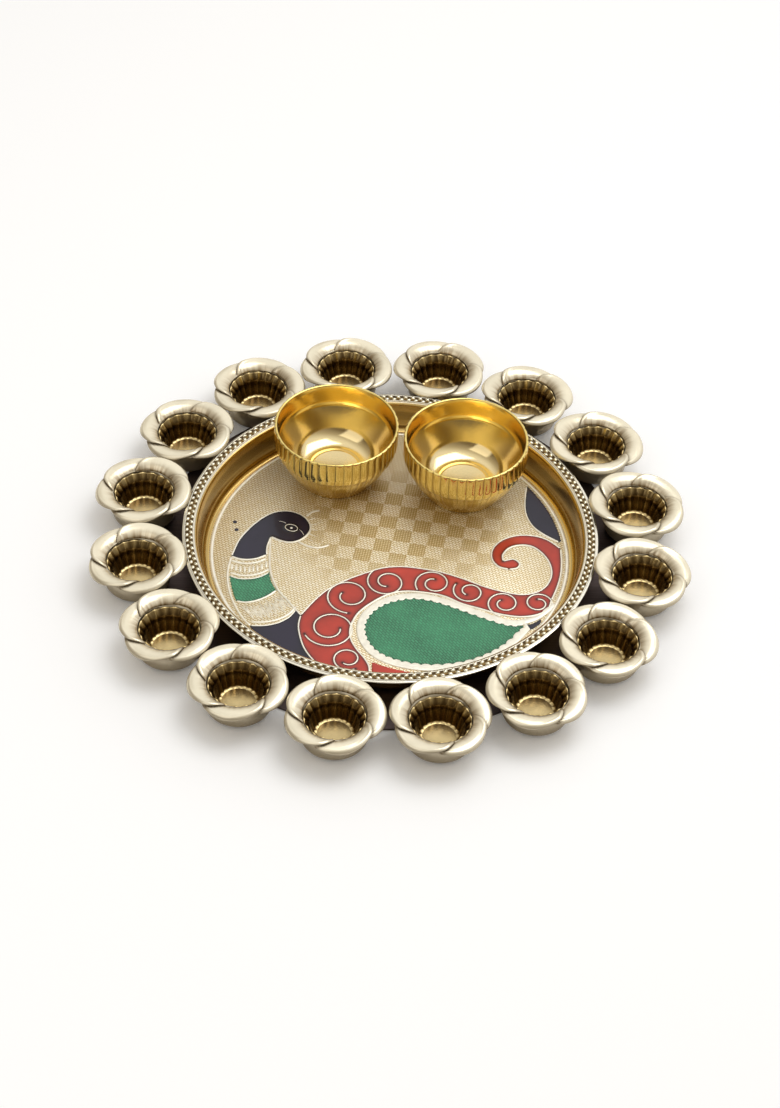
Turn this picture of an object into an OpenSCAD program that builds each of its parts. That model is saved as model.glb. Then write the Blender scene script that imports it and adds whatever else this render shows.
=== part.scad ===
// Puja thali: a round tray with an enamelled peacock floor, a braided border,
// a ring of sixteen rose-shaped cups and two loose fluted bowls.

/* [Base plate] */
// Thickness of the steel base plate
plate_t = 1.0; // [0.6:0.1:2]
// How far the plate's edge lies inside the ring of the cups' middles
plate_inset = 7.3; // [5:0.1:7.5]
// Radius of the lug under each cup
lug_r = 9; // [8:0.1:10]

/* [Tray] */
// Radius of the flat tray floor
floor_r = 75.2; // [66:0.2:86]
// Height of the flange's top over the tray floor's underside
tray_h = 13.4; // [10:0.2:16]
// Thickness of the tray's sheet metal
tray_t = 0.6; // [0.4:0.1:0.9]
// Width of the curved wall, seen from above
wall_run = 6.1; // [4:0.1:9]
// Radius of the cove between floor and wall
cove_r = 3.5; // [2:0.1:5]
// Radius of the roll over the lip
lip_r = 1.3; // [0.9:0.1:2]
// Width of the flange outside the lip
flange_w = 4.8; // [4.4:0.1:8]

/* [Braided border] */
// Diameter of one bead of the border
bead_d = 1.8; // [1:0.1:2.2]
// Distance between the border's two rows of beads
bead_row_gap = 1.7; // [1:0.1:2.2]
// Plain strip between the lip and the beads
border_inset = 0.2; // [0.1:0.1:0.6]

/* [Design sheet] */
// Thickness of the design sheet on the tray floor
sheet_t = 0.3; // [0.2:0.1:0.6]
// Width of the raised wires
wire_w = 0.9; // [0.6:0.1:1.2]
// Height of the raised wires
wire_h = 0.4; // [0.2:0.1:0.8]
// Depth of enamel in its cells
enamel_t = 0.25; // [0.1:0.05:0.6]
// Width of the leaf's raised border
leaf_border_w = 3.3; // [1.5:0.1:3.4]
// How far the border's lobes reach over the leaf
lobe_reach = 0.8; // [0.2:0.1:1]

/* [Rose cups] */
// Diameter of a rose cup over its petals
cup_d = 41; // [38:0.5:44]
// Gap between neighbouring rose cups
cup_gap = 0.15; // [0.1:0.05:1]
// How far the petals lap over the tray's flange
cup_lap = 1.9; // [0:0.1:2]
// Thickness of the petals
petal_t = 0.6; // [0.4:0.1:0.8]
// Width of the ring of petals, from the throat to the outermost points
petal_w = 7.8; // [7.6:0.1:8.2]
// Distance from a petal's outermost point in to its crest
petal_lip = 3.1; // [2.4:0.1:3.6]
// Distance from the cup's middle to the middle of a petal's outer edge
petal_mid_r = 6.5; // [4:0.1:8]
// Radius of the edge that rides over the next petal
petal_side_r = 10.8; // [10:0.1:11.6]
// Radius of the bend from the throat up to the crest
petal_bend_r = 6; // [5.6:0.1:8]
// Radius of the roll that turns the lip down
petal_roll_r = 4.2; // [4:0.1:6]
// Height of the petals' crest over the flange
petal_rise = 1.4; // [1.35:0.05:3]
// Lean that lifts a petal's one side over its neighbour, in degrees
petal_lean = 3.5; // [2.5:0.1:4.5]
// Turn of the petals from straight outwards, in degrees
petal_turn = 24.6; // [0:0.1:72]
// Outward tilt of the petals, in degrees
petal_tilt = 2.5; // [1.5:0.1:3]
// How far a foot's wall stands out from the throat
foot_step = 0.8; // [0.7:0.1:1.1]
// Thickness of a cup's foot
foot_t = 0.7; // [0.5:0.1:1]
// Radius of the round edge under a foot
foot_edge_r = 2.6; // [1.5:0.1:3.5]

/* [Cup liners] */
// Gap between a liner's rim and the throat
liner_gap = 0.3; // [0.3:0.1:0.9]
// Width of a liner's flared part
liner_flare_w = 2.1; // [1.4:0.1:2.6]
// Height of a liner's flared part
liner_flare_h = 3.2; // [2.4:0.1:4]
// How much a liner narrows below its flared part
liner_taper = 2.3; // [1.5:0.1:3]
// Height of a liner
liner_h = 11.5; // [10.5:0.1:11.8]
// Thickness of a liner
liner_t = 0.7; // [0.5:0.1:0.9]
// Number of flutes in a liner
liner_flutes = 18; // [14:1:20]
// Radius of a liner's flutes
liner_flute_r = 0.9; // [0.7:0.05:1]
// Radius of the flutes in a liner's flared part
flare_flute_r = 1.7; // [1.2:0.1:1.9]
// Depth of a liner's flutes
liner_flute_depth = 0.35; // [0.1:0.05:0.4]

/* [Rivets] */
// Diameter of a rivet's shank
rivet_d = 3; // [2:0.1:4]
// Diameter of a rivet's head
rivet_head_d = 6; // [5:0.1:8]
// Height of a rivet's head
rivet_head_h = 0.5; // [0.3:0.05:0.6]
// Clearance round shanks, heads and seats
fit_gap = 0.05; // [0.05:0.05:0.1]

/* [Loose bowls] */
// Diameter of a bowl's upright band
bowl_d = 52.6; // [48:0.2:54]
// Height of a bowl
bowl_h = 28; // [26:0.5:34]
// Height at which a bowl's upright band starts
bowl_band_h = 18; // [14:0.5:20]
// Radius of the bend between band and belly
bowl_bend_r = 8; // [4:0.5:10]
// Diameter of a bowl's flat base
bowl_base_d = 32.4; // [28:0.2:36]
// Thickness of a bowl's wall
bowl_t = 1.3; // [1.1:0.1:1.8]
// Height of the hollow under a bowl's raised floor
bowl_kick = 2.6; // [1:0.1:4]
// Number of flutes round a bowl
bowl_flutes = 44; // [36:1:48]
// Radius of the grooves between flutes
groove_r = 0.9; // [0.6:0.05:1]
// Depth of the grooves between flutes
groove_depth = 0.6; // [0.3:0.05:0.7]
// Radius of the flat disc inside a bowl
bowl_disc_r = 12; // [9:0.5:13]
// Gap between the left bowl and the tray's lip, seen from above
bowl_left_gap = 1.6; // [1:0.1:4]
// Gap between the right bowl and the tray's lip, seen from above
bowl_right_gap = 3.2; // [1:0.1:4]
// Gap between the two bowls
bowl_gap = 2.5; // [0.5:0.1:6]
// Direction of the middle between the bowls, in degrees from +X
bowls_turn = 84.8; // [80:0.1:90]

/* [Hidden] */
CUP_NODES = [for (i = [1:16]) str("flower_cup_", i < 10 ? "0" : "", i)];
LINER_NODES = [for (i = [1:16]) str("cup_liner_", i < 10 ? "0" : "", i)];

$fn = 96;
overrun = 1;
cup_count = len(CUP_NODES);
petal_count = 5;

// Levels, upwards from the face the thali stands on
pan_z = plate_t;
floor_z = pan_z + tray_t;
ground_z = floor_z + sheet_t;
flange_z = pan_z + tray_h;
crest_z = flange_z + petal_rise;

// Radii of the tray
lip_edge_r = floor_r + wall_run;
flange_r = lip_edge_r + flange_w;

// The ring of cups is as tight as both the cups and the tray allow
cup_touch_r = (cup_d + cup_gap) / 2 / sin(180 / cup_count);
ring_r = max(cup_touch_r, flange_r + cup_d / 2 - cup_lap);
function cup_angle(i) = -90 + (i + 0.5) * 360 / cup_count;

// Radii of a cup's throat, its foot and its liner
throat_r = cup_d / 2 - petal_w;
foot_r = throat_r + foot_step;
liner_rim_r = throat_r - liner_gap;
liner_neck_r = liner_rim_r - liner_flare_w;
liner_foot_r = liner_neck_r - liner_taper;

// Curves through hand-chosen points, and ribbons of even width along them
function between(a, b, c, d, t) =
    (2 * b + (c - a) * t + (2 * a - 5 * b + 4 * c - d) * t * t
    + (3 * b - a - 3 * c + d) * t * t * t) / 2;
function curve(p, n = 4) = let (last = len(p) - 1) [
    for (i = [0:last - 1], s = [0:n - 1])
        between(p[max(i - 1, 0)], p[i], p[i + 1], p[min(i + 2, last)], s / n),
    p[last]
];
function side(c, i) = let (
    d = c[min(i + 1, len(c) - 1)] - c[max(i - 1, 0)]
) [-d.y, d.x] / norm(d);
function ribbon(c, w) = concat(
    [for (i = [0:len(c) - 1]) c[i] + side(c, i) * w / 2],
    [for (i = [len(c) - 1:-1:0]) c[i] - side(c, i) * w / 2]
);
function lobed(c, reach, skip = 4, n = 5) =
    [for (i = [skip:2:len(c) - 3 - skip], k = [0:n - 1])
        let (j = i + floor(2 * k / n), t = i + 2 * k / n - j)
            c[j] + (c[j + 1] - c[j]) * t + (side(c, j) * (1 - t) + side(c, j + 1) * t)
                * reach * sin(180 * k / n)];
function arc(mid, r, from, to, n) =
    [for (k = [0:n]) let (a = from + (to - from) * k / n) mid + r * [cos(a), sin(a)]];
function spiral(mid, r_in, r_out, from, turn, n = 26) =
    [for (k = [0:n]) let (t = k / n, a = from + turn * t, r = r_in + (r_out - r_in) * t)
        mid + r * [cos(a), sin(a)]];

// Tray wall: a cove, a straight run and a roll, tangent to each other
bend_sum = cove_r + lip_r;
wall_rise = tray_h - tray_t;
wall_len = sqrt(wall_run ^ 2 + (wall_rise - bend_sum) ^ 2 - bend_sum ^ 2);
wall_lean = atan2(wall_rise - bend_sum, wall_run) + atan2(bend_sum, wall_len);

module base_plate() {
    color("dimgray") difference() {
        union() {
            cylinder(r = ring_r - plate_inset, h = plate_t);
            for (i = [0:cup_count - 1]) rotate([0, 0, cup_angle(i)])
                translate([ring_r, 0, 0]) cylinder(r = lug_r, h = plate_t);
        }
        for (i = [0:cup_count - 1]) rotate([0, 0, cup_angle(i)])
            translate([ring_r, 0, -overrun])
                cylinder(d = rivet_d + 2 * fit_gap, h = plate_t + 2 * overrun, $fn = 32);
    }
}

module thali_pan() {
    floor_mid = pan_z + tray_t / 2;
    flange_mid = flange_z - tray_t / 2;
    path = concat(
        [[0, floor_mid]],
        arc([floor_r, floor_mid + cove_r], cove_r, -90, wall_lean - 90, 8),
        arc([lip_edge_r, flange_mid - lip_r], lip_r, wall_lean + 90, 90, 6),
        [[flange_r, flange_mid]]
    );
    color("darkgoldenrod") rotate_extrude() polygon(ribbon(path, tray_t));
}

module rope_border() {
    first_r = lip_edge_r + border_inset + bead_d / 2;
    color("palegoldenrod") rotate_extrude() for (row = [0, 1])
        polygon(arc([first_r + row * bead_row_gap, flange_z], bead_d / 2, 0, 180, 8));
}

// The peacock, drawn in shares of the floor's radius
head_shares = curve([[-0.68, -0.05], [-0.678, 0.02], [-0.66, 0.095]], 4);
crown_shares = curve([[-0.66, 0.095], [-0.61, 0.068], [-0.555, 0.055], [-0.50, 0.075],
    [-0.455, 0.13], [-0.445, 0.19], [-0.475, 0.255], [-0.53, 0.295], [-0.60, 0.305],
    [-0.67, 0.28], [-0.74, 0.215], [-0.80, 0.13], [-0.84, 0.05], [-0.872, -0.07]], 3);
nape_shares = curve([[-0.872, -0.07], [-0.83, -0.088], [-0.78, -0.092], [-0.73, -0.08],
    [-0.68, -0.05]], 3);
bib_top_shares = curve([[-0.875, -0.225], [-0.82, -0.244], [-0.76, -0.242], [-0.71, -0.225],
    [-0.66, -0.19]], 3);
bib_end_shares = curve([[-0.66, -0.19], [-0.645, -0.26], [-0.615, -0.325]], 3);
bib_low_shares = curve([[-0.615, -0.325], [-0.66, -0.37], [-0.72, -0.408], [-0.78, -0.424],
    [-0.83, -0.415]], 3);
bib_back_shares = curve([[-0.83, -0.415], [-0.855, -0.33], [-0.875, -0.225]], 3);
breast_shares = curve([[-0.745, -0.60], [-0.67, -0.597], [-0.60, -0.575], [-0.54, -0.53],
    [-0.503, -0.47]], 3);
tail_back_shares = curve([[-0.475, -0.51], [-0.485, -0.58], [-0.478, -0.65], [-0.455, -0.74],
    [-0.42, -0.81], [-0.37, -0.88]], 3);
throat_shares = curve([[-0.662, 0.09], [-0.662, 0], [-0.66, -0.10], [-0.648, -0.20],
    [-0.605, -0.32], [-0.55, -0.40], [-0.503, -0.47], [-0.475, -0.51]], 3);
back_shares = curve([[-0.872, -0.07], [-0.885, -0.16], [-0.885, -0.25], [-0.865, -0.36],
    [-0.83, -0.46], [-0.79, -0.54], [-0.745, -0.60]], 3);

// The tail's outer line, from under the breast over the back to the curl's bulb
tail_top_shares = curve([[-0.475, -0.51], [-0.44, -0.45], [-0.38, -0.36], [-0.31, -0.285],
    [-0.22, -0.22], [-0.12, -0.165], [-0.03, -0.125], [0.07, -0.112], [0.17, -0.122],
    [0.28, -0.145], [0.40, -0.19], [0.52, -0.248], [0.63, -0.285], [0.72, -0.302],
    [0.80, -0.285], [0.86, -0.235], [0.893, -0.155], [0.892, -0.07], [0.86, 0.01],
    [0.80, 0.075], [0.73, 0.088], [0.665, 0.062], [0.628, 0.005], [0.63, -0.045]], 3);
bulb_shares = curve([[0.63, -0.045], [0.655, -0.035], [0.69, -0.028], [0.72, -0.06],
    [0.705, -0.095], [0.66, -0.107]], 3);
curl_shares = curve([[0.66, -0.107], [0.60, -0.085], [0.566, -0.02], [0.578, 0.06],
    [0.63, 0.125], [0.71, 0.163], [0.80, 0.165], [0.88, 0.135], [0.952, 0.068]], 3);
tail_edge_shares = curve([[0.952, 0.068], [0.953, -0.04], [0.945, -0.14], [0.922, -0.24],
    [0.888, -0.34]], 3);
tail_low_shares = curve([[0.888, -0.34], [0.865, -0.41], [0.80, -0.455], [0.71, -0.472],
    [0.60, -0.455], [0.50, -0.42], [0.40, -0.385], [0.30, -0.33], [0.20, -0.308],
    [0.09, -0.302], [0, -0.328], [-0.09, -0.395], [-0.165, -0.48], [-0.203, -0.58],
    [-0.203, -0.67], [-0.17, -0.75], [-0.105, -0.83], [-0.03, -0.88]], 3);
leaf_shares = curve([[0.735, -0.54], [0.64, -0.535], [0.52, -0.49], [0.40, -0.435],
    [0.28, -0.383], [0.16, -0.355], [0.05, -0.372], [-0.04, -0.418], [-0.105, -0.495],
    [-0.13, -0.585], [-0.115, -0.68], [-0.06, -0.765], [0.03, -0.82], [0.15, -0.85],
    [0.29, -0.85], [0.43, -0.815], [0.55, -0.75], [0.65, -0.66], [0.735, -0.54]], 5);
wing_in_shares = curve([[0.775, 0.57], [0.762, 0.45], [0.765, 0.34], [0.80, 0.245],
    [0.86, 0.18], [0.945, 0.12]], 3);
beak_top_shares = curve([[-0.47, 0.27], [-0.44, 0.305], [-0.395, 0.322]], 3);
beak_low_shares = curve([[-0.51, 0.062], [-0.45, 0.028], [-0.39, 0.02], [-0.335, 0.045]], 3);
eye_share = [-0.55, 0.17];
eye_share_r = 0.032;
dot_shares = [[-0.867, 0.207], [-0.855, 0.145]];
dot_share_r = 0.012;
collar_bead_share_r = [0.008, 0.024];
collar_beads = 9;

// The floor's own edge line, and how far the enamel reaches towards it
edge_share = 0.985;
enamel_edge_share = 0.965;
function edge_run(from, to, n) = arc([0, 0], enamel_edge_share, from, to, n);

// Scrolls: middle, inner and outer radius, start and turn in degrees
scroll_shares = [
    [[-0.315, -0.60], 0.055, 0.145, 0, -520],
    [[-0.215, -0.35], 0.045, 0.135, 150, 480],
    [[-0.01, -0.235], 0.035, 0.115, 270, -500],
    [[0.245, -0.235], 0.03, 0.105, 75, 500],
    [[0.44, -0.29], 0.03, 0.092, 240, -460],
    [[0.63, -0.375], 0.03, 0.098, 120, 500],
    [[0.815, -0.365], 0.03, 0.078, 100, -460],
    [[-0.215, -0.825], 0.04, 0.085, 230, 430]
];

collar_top_share = 0.03;
collar_low_share = 0.028;
function lowered(c, drop) = [for (p = c) p - [0, drop]];
function along(c, t) = let (p = t * (len(c) - 1), i = min(floor(p), len(c) - 2))
    c[i] + (c[i + 1] - c[i]) * (p - i);
function oval(mid, r) = [for (a = [0:30:330]) mid + [r.x * cos(a), r.y * sin(a)]];

// Raised lines of the figure
wire_runs = [
    head_shares, crown_shares, nape_shares, throat_shares, back_shares,
    lowered(nape_shares, collar_top_share), bib_top_shares, lowered(bib_top_shares, -collar_low_share),
    bib_low_shares, breast_shares, lowered(breast_shares, -collar_low_share),
    tail_back_shares, tail_top_shares, bulb_shares, curl_shares, tail_edge_shares,
    tail_low_shares, wing_in_shares, beak_top_shares, beak_low_shares
];

module wires_flat() {
    for (run = wire_runs) polygon(ribbon(run * floor_r, wire_w));
    for (s = scroll_shares)
        polygon(ribbon(spiral(s[0], s[1], s[2], s[3], s[4]) * floor_r, wire_w));
    difference() {
        polygon([for (i = [0:len(leaf_shares) - 1])
            leaf_shares[i] * floor_r - side(leaf_shares, i) * leaf_border_w]);
        polygon(lobed(leaf_shares * floor_r, lobe_reach));
    }
    for (k = [0:collar_beads - 1]) let (t = (k + 1 / 2) / collar_beads)
        polygon(oval((along(nape_shares, t) + along(bib_top_shares, t)) / 2,
            collar_bead_share_r) * floor_r);
    for (p = dot_shares) translate(p * floor_r) circle(dot_share_r * floor_r, $fn = 16);
    translate(eye_share * floor_r) difference() {
        circle(r = eye_share_r * floor_r, $fn = 32);
        circle(r = eye_share_r * floor_r - wire_w, $fn = 32);
    }
    difference() {
        circle(r = edge_share * floor_r + wire_w / 2);
        circle(r = edge_share * floor_r - wire_w / 2);
    }
}

module design_sheet() {
    color("burlywood") translate([0, 0, floor_z]) union() {
        cylinder(r = floor_r - fit_gap, h = sheet_t);
        linear_extrude(sheet_t + wire_h) wires_flat();
    }
}

module enamel_cell(outline) {
    translate([0, 0, ground_z]) linear_extrude(enamel_t) difference() {
        polygon(outline * floor_r);
        wires_flat();
    }
}

module enamel_red() {
    color("firebrick") enamel_cell(concat(
        tail_top_shares, bulb_shares, curl_shares, tail_edge_shares, tail_low_shares,
        edge_run(-92, -111, 4), [for (i = [len(tail_back_shares) - 3:-1:1]) tail_back_shares[i]]));
}

module enamel_green() {
    color("seagreen") {
        translate([0, 0, ground_z]) linear_extrude(enamel_t)
            polygon(lobed(leaf_shares * floor_r, lobe_reach));
        enamel_cell(concat(bib_top_shares, bib_end_shares, bib_low_shares, bib_back_shares));
    }
}

module enamel_navy() {
    color("midnightblue") {
        enamel_cell(concat(head_shares, crown_shares, nape_shares));
        enamel_cell(concat(breast_shares, tail_back_shares, edge_run(-113, -140, 6)));
        enamel_cell(concat(wing_in_shares, edge_run(8, 36, 6)));
    }
}

// Radius of the petals' crest, and height of the middle of the bend under it
crest_r = cup_d / 2 - petal_lip;
bend_z = crest_z - petal_bend_r;

// Outline of a petal from above: its free side is a tight arc that runs in to
// the throat, and its other side is a plain wedge, hidden under its neighbour
side_mid_share = [-0.62, 0.15];
tuck_share = 0.78;
module petal_outline() {
    tuck_turn = 360 / petal_count * tuck_share;
    intersection() {
        translate([petal_mid_r, 0]) circle(cup_d / 2 - petal_mid_r);
        union() {
            translate([crest_r, 0] + side_mid_share * petal_side_r) circle(petal_side_r);
            polygon([[0, 0], cup_d * [cos(tuck_turn), -sin(tuck_turn)], [cup_d, 0]]);
        }
    }
}

// Section of a petal: from the throat up to the crest, then down the lip
module petal_section() {
    roll_z = crest_z - petal_roll_r;
    intersection() {
        difference() {
            translate([crest_r, bend_z]) circle(petal_bend_r);
            translate([crest_r, bend_z]) circle(petal_bend_r - petal_t);
        }
        translate([throat_r, bend_z]) square([crest_r - throat_r, 2 * petal_bend_r]);
    }
    intersection() {
        difference() {
            translate([crest_r, roll_z]) circle(petal_roll_r);
            translate([crest_r, roll_z]) circle(petal_roll_r - petal_t);
        }
        translate([crest_r, roll_z]) square(2 * petal_roll_r);
    }
}

// A petal leans, so that one side rides over the next petal and one tucks under
module petal() {
    intersection() {
        translate([0, 0, crest_z]) rotate([petal_lean, 0, 0]) translate([0, 0, -crest_z])
            rotate_extrude() petal_section();
        linear_extrude(2 * crest_z) petal_outline();
    }
}

// Height of the petals' underside over the foot's wall
petal_under_z = bend_z + sqrt((petal_bend_r - petal_t) ^ 2 - (crest_r - foot_r) ^ 2);

module foot() {
    difference() {
        rotate_extrude() polygon(ribbon(concat(
            [[0, plate_t + foot_t / 2]],
            arc([foot_r - foot_edge_r, plate_t + foot_edge_r],
                foot_edge_r - foot_t / 2, -90, 0, 6),
            [[foot_r - foot_t / 2, petal_under_z]]), foot_t));
        translate([0, 0, plate_t - overrun])
            cylinder(d = rivet_d + 2 * fit_gap, h = foot_t + 2 * overrun, $fn = 32);
    }
}

module flower_cup(i) {
    color("wheat") rotate([0, 0, cup_angle(i)]) translate([ring_r, 0, 0]) union() {
        translate([0, 0, crest_z]) rotate([0, petal_tilt, 0]) translate([0, 0, -crest_z])
            for (k = [0:petal_count - 1])
                rotate([0, 0, petal_turn + 360 / petal_count * k]) petal();
        foot();
    }
}

// Cutters for a liner's flutes, along a wall that leans out by slope
module flutes(start, slope, r) {
    for (k = [0:liner_flutes - 1]) rotate([0, 0, 360 / liner_flutes * k])
        translate([start.x - (r - liner_flute_depth) / cos(atan(slope)), 0, start.y])
            rotate([0, atan(slope), 0]) cylinder(r = r, h = 2 * liner_h, $fn = 24);
}

// A tapered, fluted cup with a raised floor and a flared rim
module cup_liner(i) {
    seat_z = plate_t + foot_t;
    deck_h = rivet_head_h + fit_gap;
    neck_h = liner_h - liner_flare_h;
    slope = (liner_neck_r - liner_foot_r) / neck_h;
    flare = (liner_rim_r - liner_neck_r) / liner_flare_h;
    inner_r = liner_foot_r - liner_t;
    color("saddlebrown") rotate([0, 0, cup_angle(i)]) translate([ring_r, 0, seat_z])
        difference() {
            rotate_extrude() polygon([
                [0, deck_h], [inner_r, deck_h], [inner_r, 0], [liner_foot_r, 0],
                [liner_neck_r, neck_h], [liner_rim_r, liner_h],
                [liner_rim_r - liner_t, liner_h], [liner_neck_r - liner_t, neck_h],
                [inner_r + slope * (deck_h + liner_t), deck_h + liner_t], [0, deck_h + liner_t]
            ]);
            flutes([inner_r, deck_h + liner_t], slope, liner_flute_r);
            flutes([liner_neck_r - liner_t - flare * overrun, neck_h - overrun],
                flare, flare_flute_r);
        }
}

module cup_rivets() {
    seat_z = plate_t + foot_t;
    color("silver") for (i = [0:cup_count - 1]) rotate([0, 0, cup_angle(i)])
        translate([ring_r, 0, 0]) union() {
            cylinder(d = rivet_d, h = seat_z + rivet_head_h / 2, $fn = 32);
            translate([0, 0, seat_z]) cylinder(d = rivet_head_d, h = rivet_head_h, $fn = 32);
        }
}

// Side of a bowl: a straight belly, a bend and the upright band
belly_lean = atan((bowl_d - bowl_base_d) / 2 / bowl_band_h);
bowl_bend_mid = [bowl_d / 2 - bowl_bend_r, bowl_band_h + bowl_bend_r * tan(belly_lean / 2)];

module bowl() {
    disc_z = bowl_kick + bowl_t;
    inner_bend = arc(bowl_bend_mid, bowl_bend_r - bowl_t, 0, -belly_lean, 6);
    low = inner_bend[6];
    color("gold") difference() {
        rotate_extrude() polygon(concat(
            [[0, bowl_kick], [bowl_disc_r, bowl_kick], [bowl_disc_r, 0], [bowl_base_d / 2, 0]],
            arc(bowl_bend_mid, bowl_bend_r, -belly_lean, 0, 6),
            [[bowl_d / 2, bowl_h], [bowl_d / 2 - bowl_t, bowl_h]], inner_bend,
            [[low.x - (low.y - disc_z) * tan(belly_lean), disc_z], [0, disc_z]]));
        for (k = [0:bowl_flutes - 1]) rotate([0, 0, 360 / bowl_flutes * k])
            translate([bowl_d / 2 + groove_r - groove_depth, 0, bowl_band_h])
                cylinder(r = groove_r, h = bowl_h, $fn = 24);
    }
}

// The bowls stand side by side, close to the tray's lip
bowl_left_r = lip_edge_r - bowl_left_gap - bowl_d / 2;
bowl_right_r = lip_edge_r - bowl_right_gap - bowl_d / 2;
bowl_spread = acos((bowl_left_r ^ 2 + bowl_right_r ^ 2 - (bowl_d + bowl_gap) ^ 2)
    / 2 / bowl_left_r / bowl_right_r);
bowl_left_turn = bowls_turn + bowl_spread / 2;
bowl_right_turn = bowls_turn - bowl_spread / 2;

module bowl_left() {
    rotate([0, 0, bowl_left_turn]) translate([bowl_left_r, 0, ground_z]) bowl();
}

module bowl_right() {
    rotate([0, 0, bowl_right_turn]) translate([bowl_right_r, 0, ground_z]) bowl();
}

base_plate();
thali_pan();
rope_border();
design_sheet();
enamel_red();
enamel_green();
enamel_navy();
cup_rivets();
bowl_left();
bowl_right();
for (i = [0:cup_count - 1]) {
    flower_cup(i);
    cup_liner(i);
}
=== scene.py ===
"""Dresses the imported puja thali: petals, braid, enamel, ribbed bowls and finishes."""

import math

import bpy
import numpy as np
from bpy.props import FloatProperty, FloatVectorProperty, IntProperty, PointerProperty
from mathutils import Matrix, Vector


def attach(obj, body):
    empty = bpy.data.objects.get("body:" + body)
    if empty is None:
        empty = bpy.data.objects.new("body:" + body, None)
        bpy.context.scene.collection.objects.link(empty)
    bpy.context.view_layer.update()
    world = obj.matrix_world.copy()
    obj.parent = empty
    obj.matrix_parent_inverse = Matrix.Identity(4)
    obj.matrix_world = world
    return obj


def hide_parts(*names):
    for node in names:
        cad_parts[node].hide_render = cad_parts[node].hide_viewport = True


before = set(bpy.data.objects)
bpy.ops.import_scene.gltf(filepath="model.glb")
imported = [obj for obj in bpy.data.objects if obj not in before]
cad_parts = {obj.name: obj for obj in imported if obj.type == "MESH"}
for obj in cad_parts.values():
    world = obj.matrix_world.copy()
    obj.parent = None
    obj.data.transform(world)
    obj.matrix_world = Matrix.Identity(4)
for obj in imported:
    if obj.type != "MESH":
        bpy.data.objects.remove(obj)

bl_info = {
    "name": "Puja thali dresser",
    "version": (1, 0, 0),
    "blender": (4, 5, 0),
    "location": "View3D > Sidebar > Thali",
    "description": "Builds the visible surfaces of a puja thali around its packed solids",
    "category": "Add Mesh",
}

MM = 0.001
FIXED = "thali"
CUPS = 16
PETALS = 5
# Finishes: spread of the polish and scale of the fine grain. In metres, the row height of
# the woven dashes, the ground's squares and its dots, and the squares' turn in radians
SCRATCH, GRAIN = 0.03, 2500
DASH_ROW, SQUARE, DOT_PITCH, SQUARE_TURN = 0.00105, 0.0072, 0.00105, 0.16


def length(name, default_mm, description, low=0.0):
    """A size in metres, written here in millimetres."""
    return FloatProperty(name=name, description=description, default=default_mm * MM,
                         min=low * MM, unit="LENGTH", precision=4)


def degrees(name, default, description):
    return FloatProperty(name=name, description=description, default=math.radians(default),
                         subtype="ANGLE")


def paint(name, colour, description):
    return FloatVectorProperty(name=name, description=description, default=colour,
                               size=3, min=0.0, max=1.0, subtype="COLOR")


class ThaliSizes(bpy.types.PropertyGroup):
    """Sizes of the visible pieces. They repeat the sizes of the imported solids."""

    plate_t: length("Plate thickness", 1.0, "Thickness of the steel base plate")
    floor_r: length("Floor radius", 75.2, "Radius of the flat tray floor")
    tray_h: length("Tray height", 13.4, "Height of the flange over the floor's underside")
    tray_t: length("Tray thickness", 0.6, "Thickness of the tray's sheet metal")
    wall_run: length("Wall run", 6.1, "Width of the wall seen from above")
    cove_r: length("Cove radius", 3.5, "Radius of the cove between floor and wall")
    lip_r: length("Lip radius", 1.3, "Radius of the roll over the lip")
    flange_w: length("Flange width", 4.8, "Width of the flange outside the lip")
    bead_d: length("Bead diameter", 1.8, "Diameter of one bead of the braid")
    bead_gap: length("Bead row gap", 1.7, "Distance between the two rows of beads")
    border_inset: length("Border inset", 0.2, "Plain strip between lip and beads")
    beads: IntProperty(name="Beads", description="Beads in one row of the braid",
                       default=165, min=20, max=300)
    sheet_t: length("Sheet thickness", 0.3, "Thickness of the design sheet")
    wire_w: length("Wire width", 0.9, "Width of the raised wires")
    wire_h: length("Wire height", 0.4, "Height of the raised wires")
    enamel_t: length("Enamel depth", 0.25, "Depth of the enamel in its cells")
    fit_gap: length("Fit gap", 0.05, "Clearance round fitted pieces")


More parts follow.
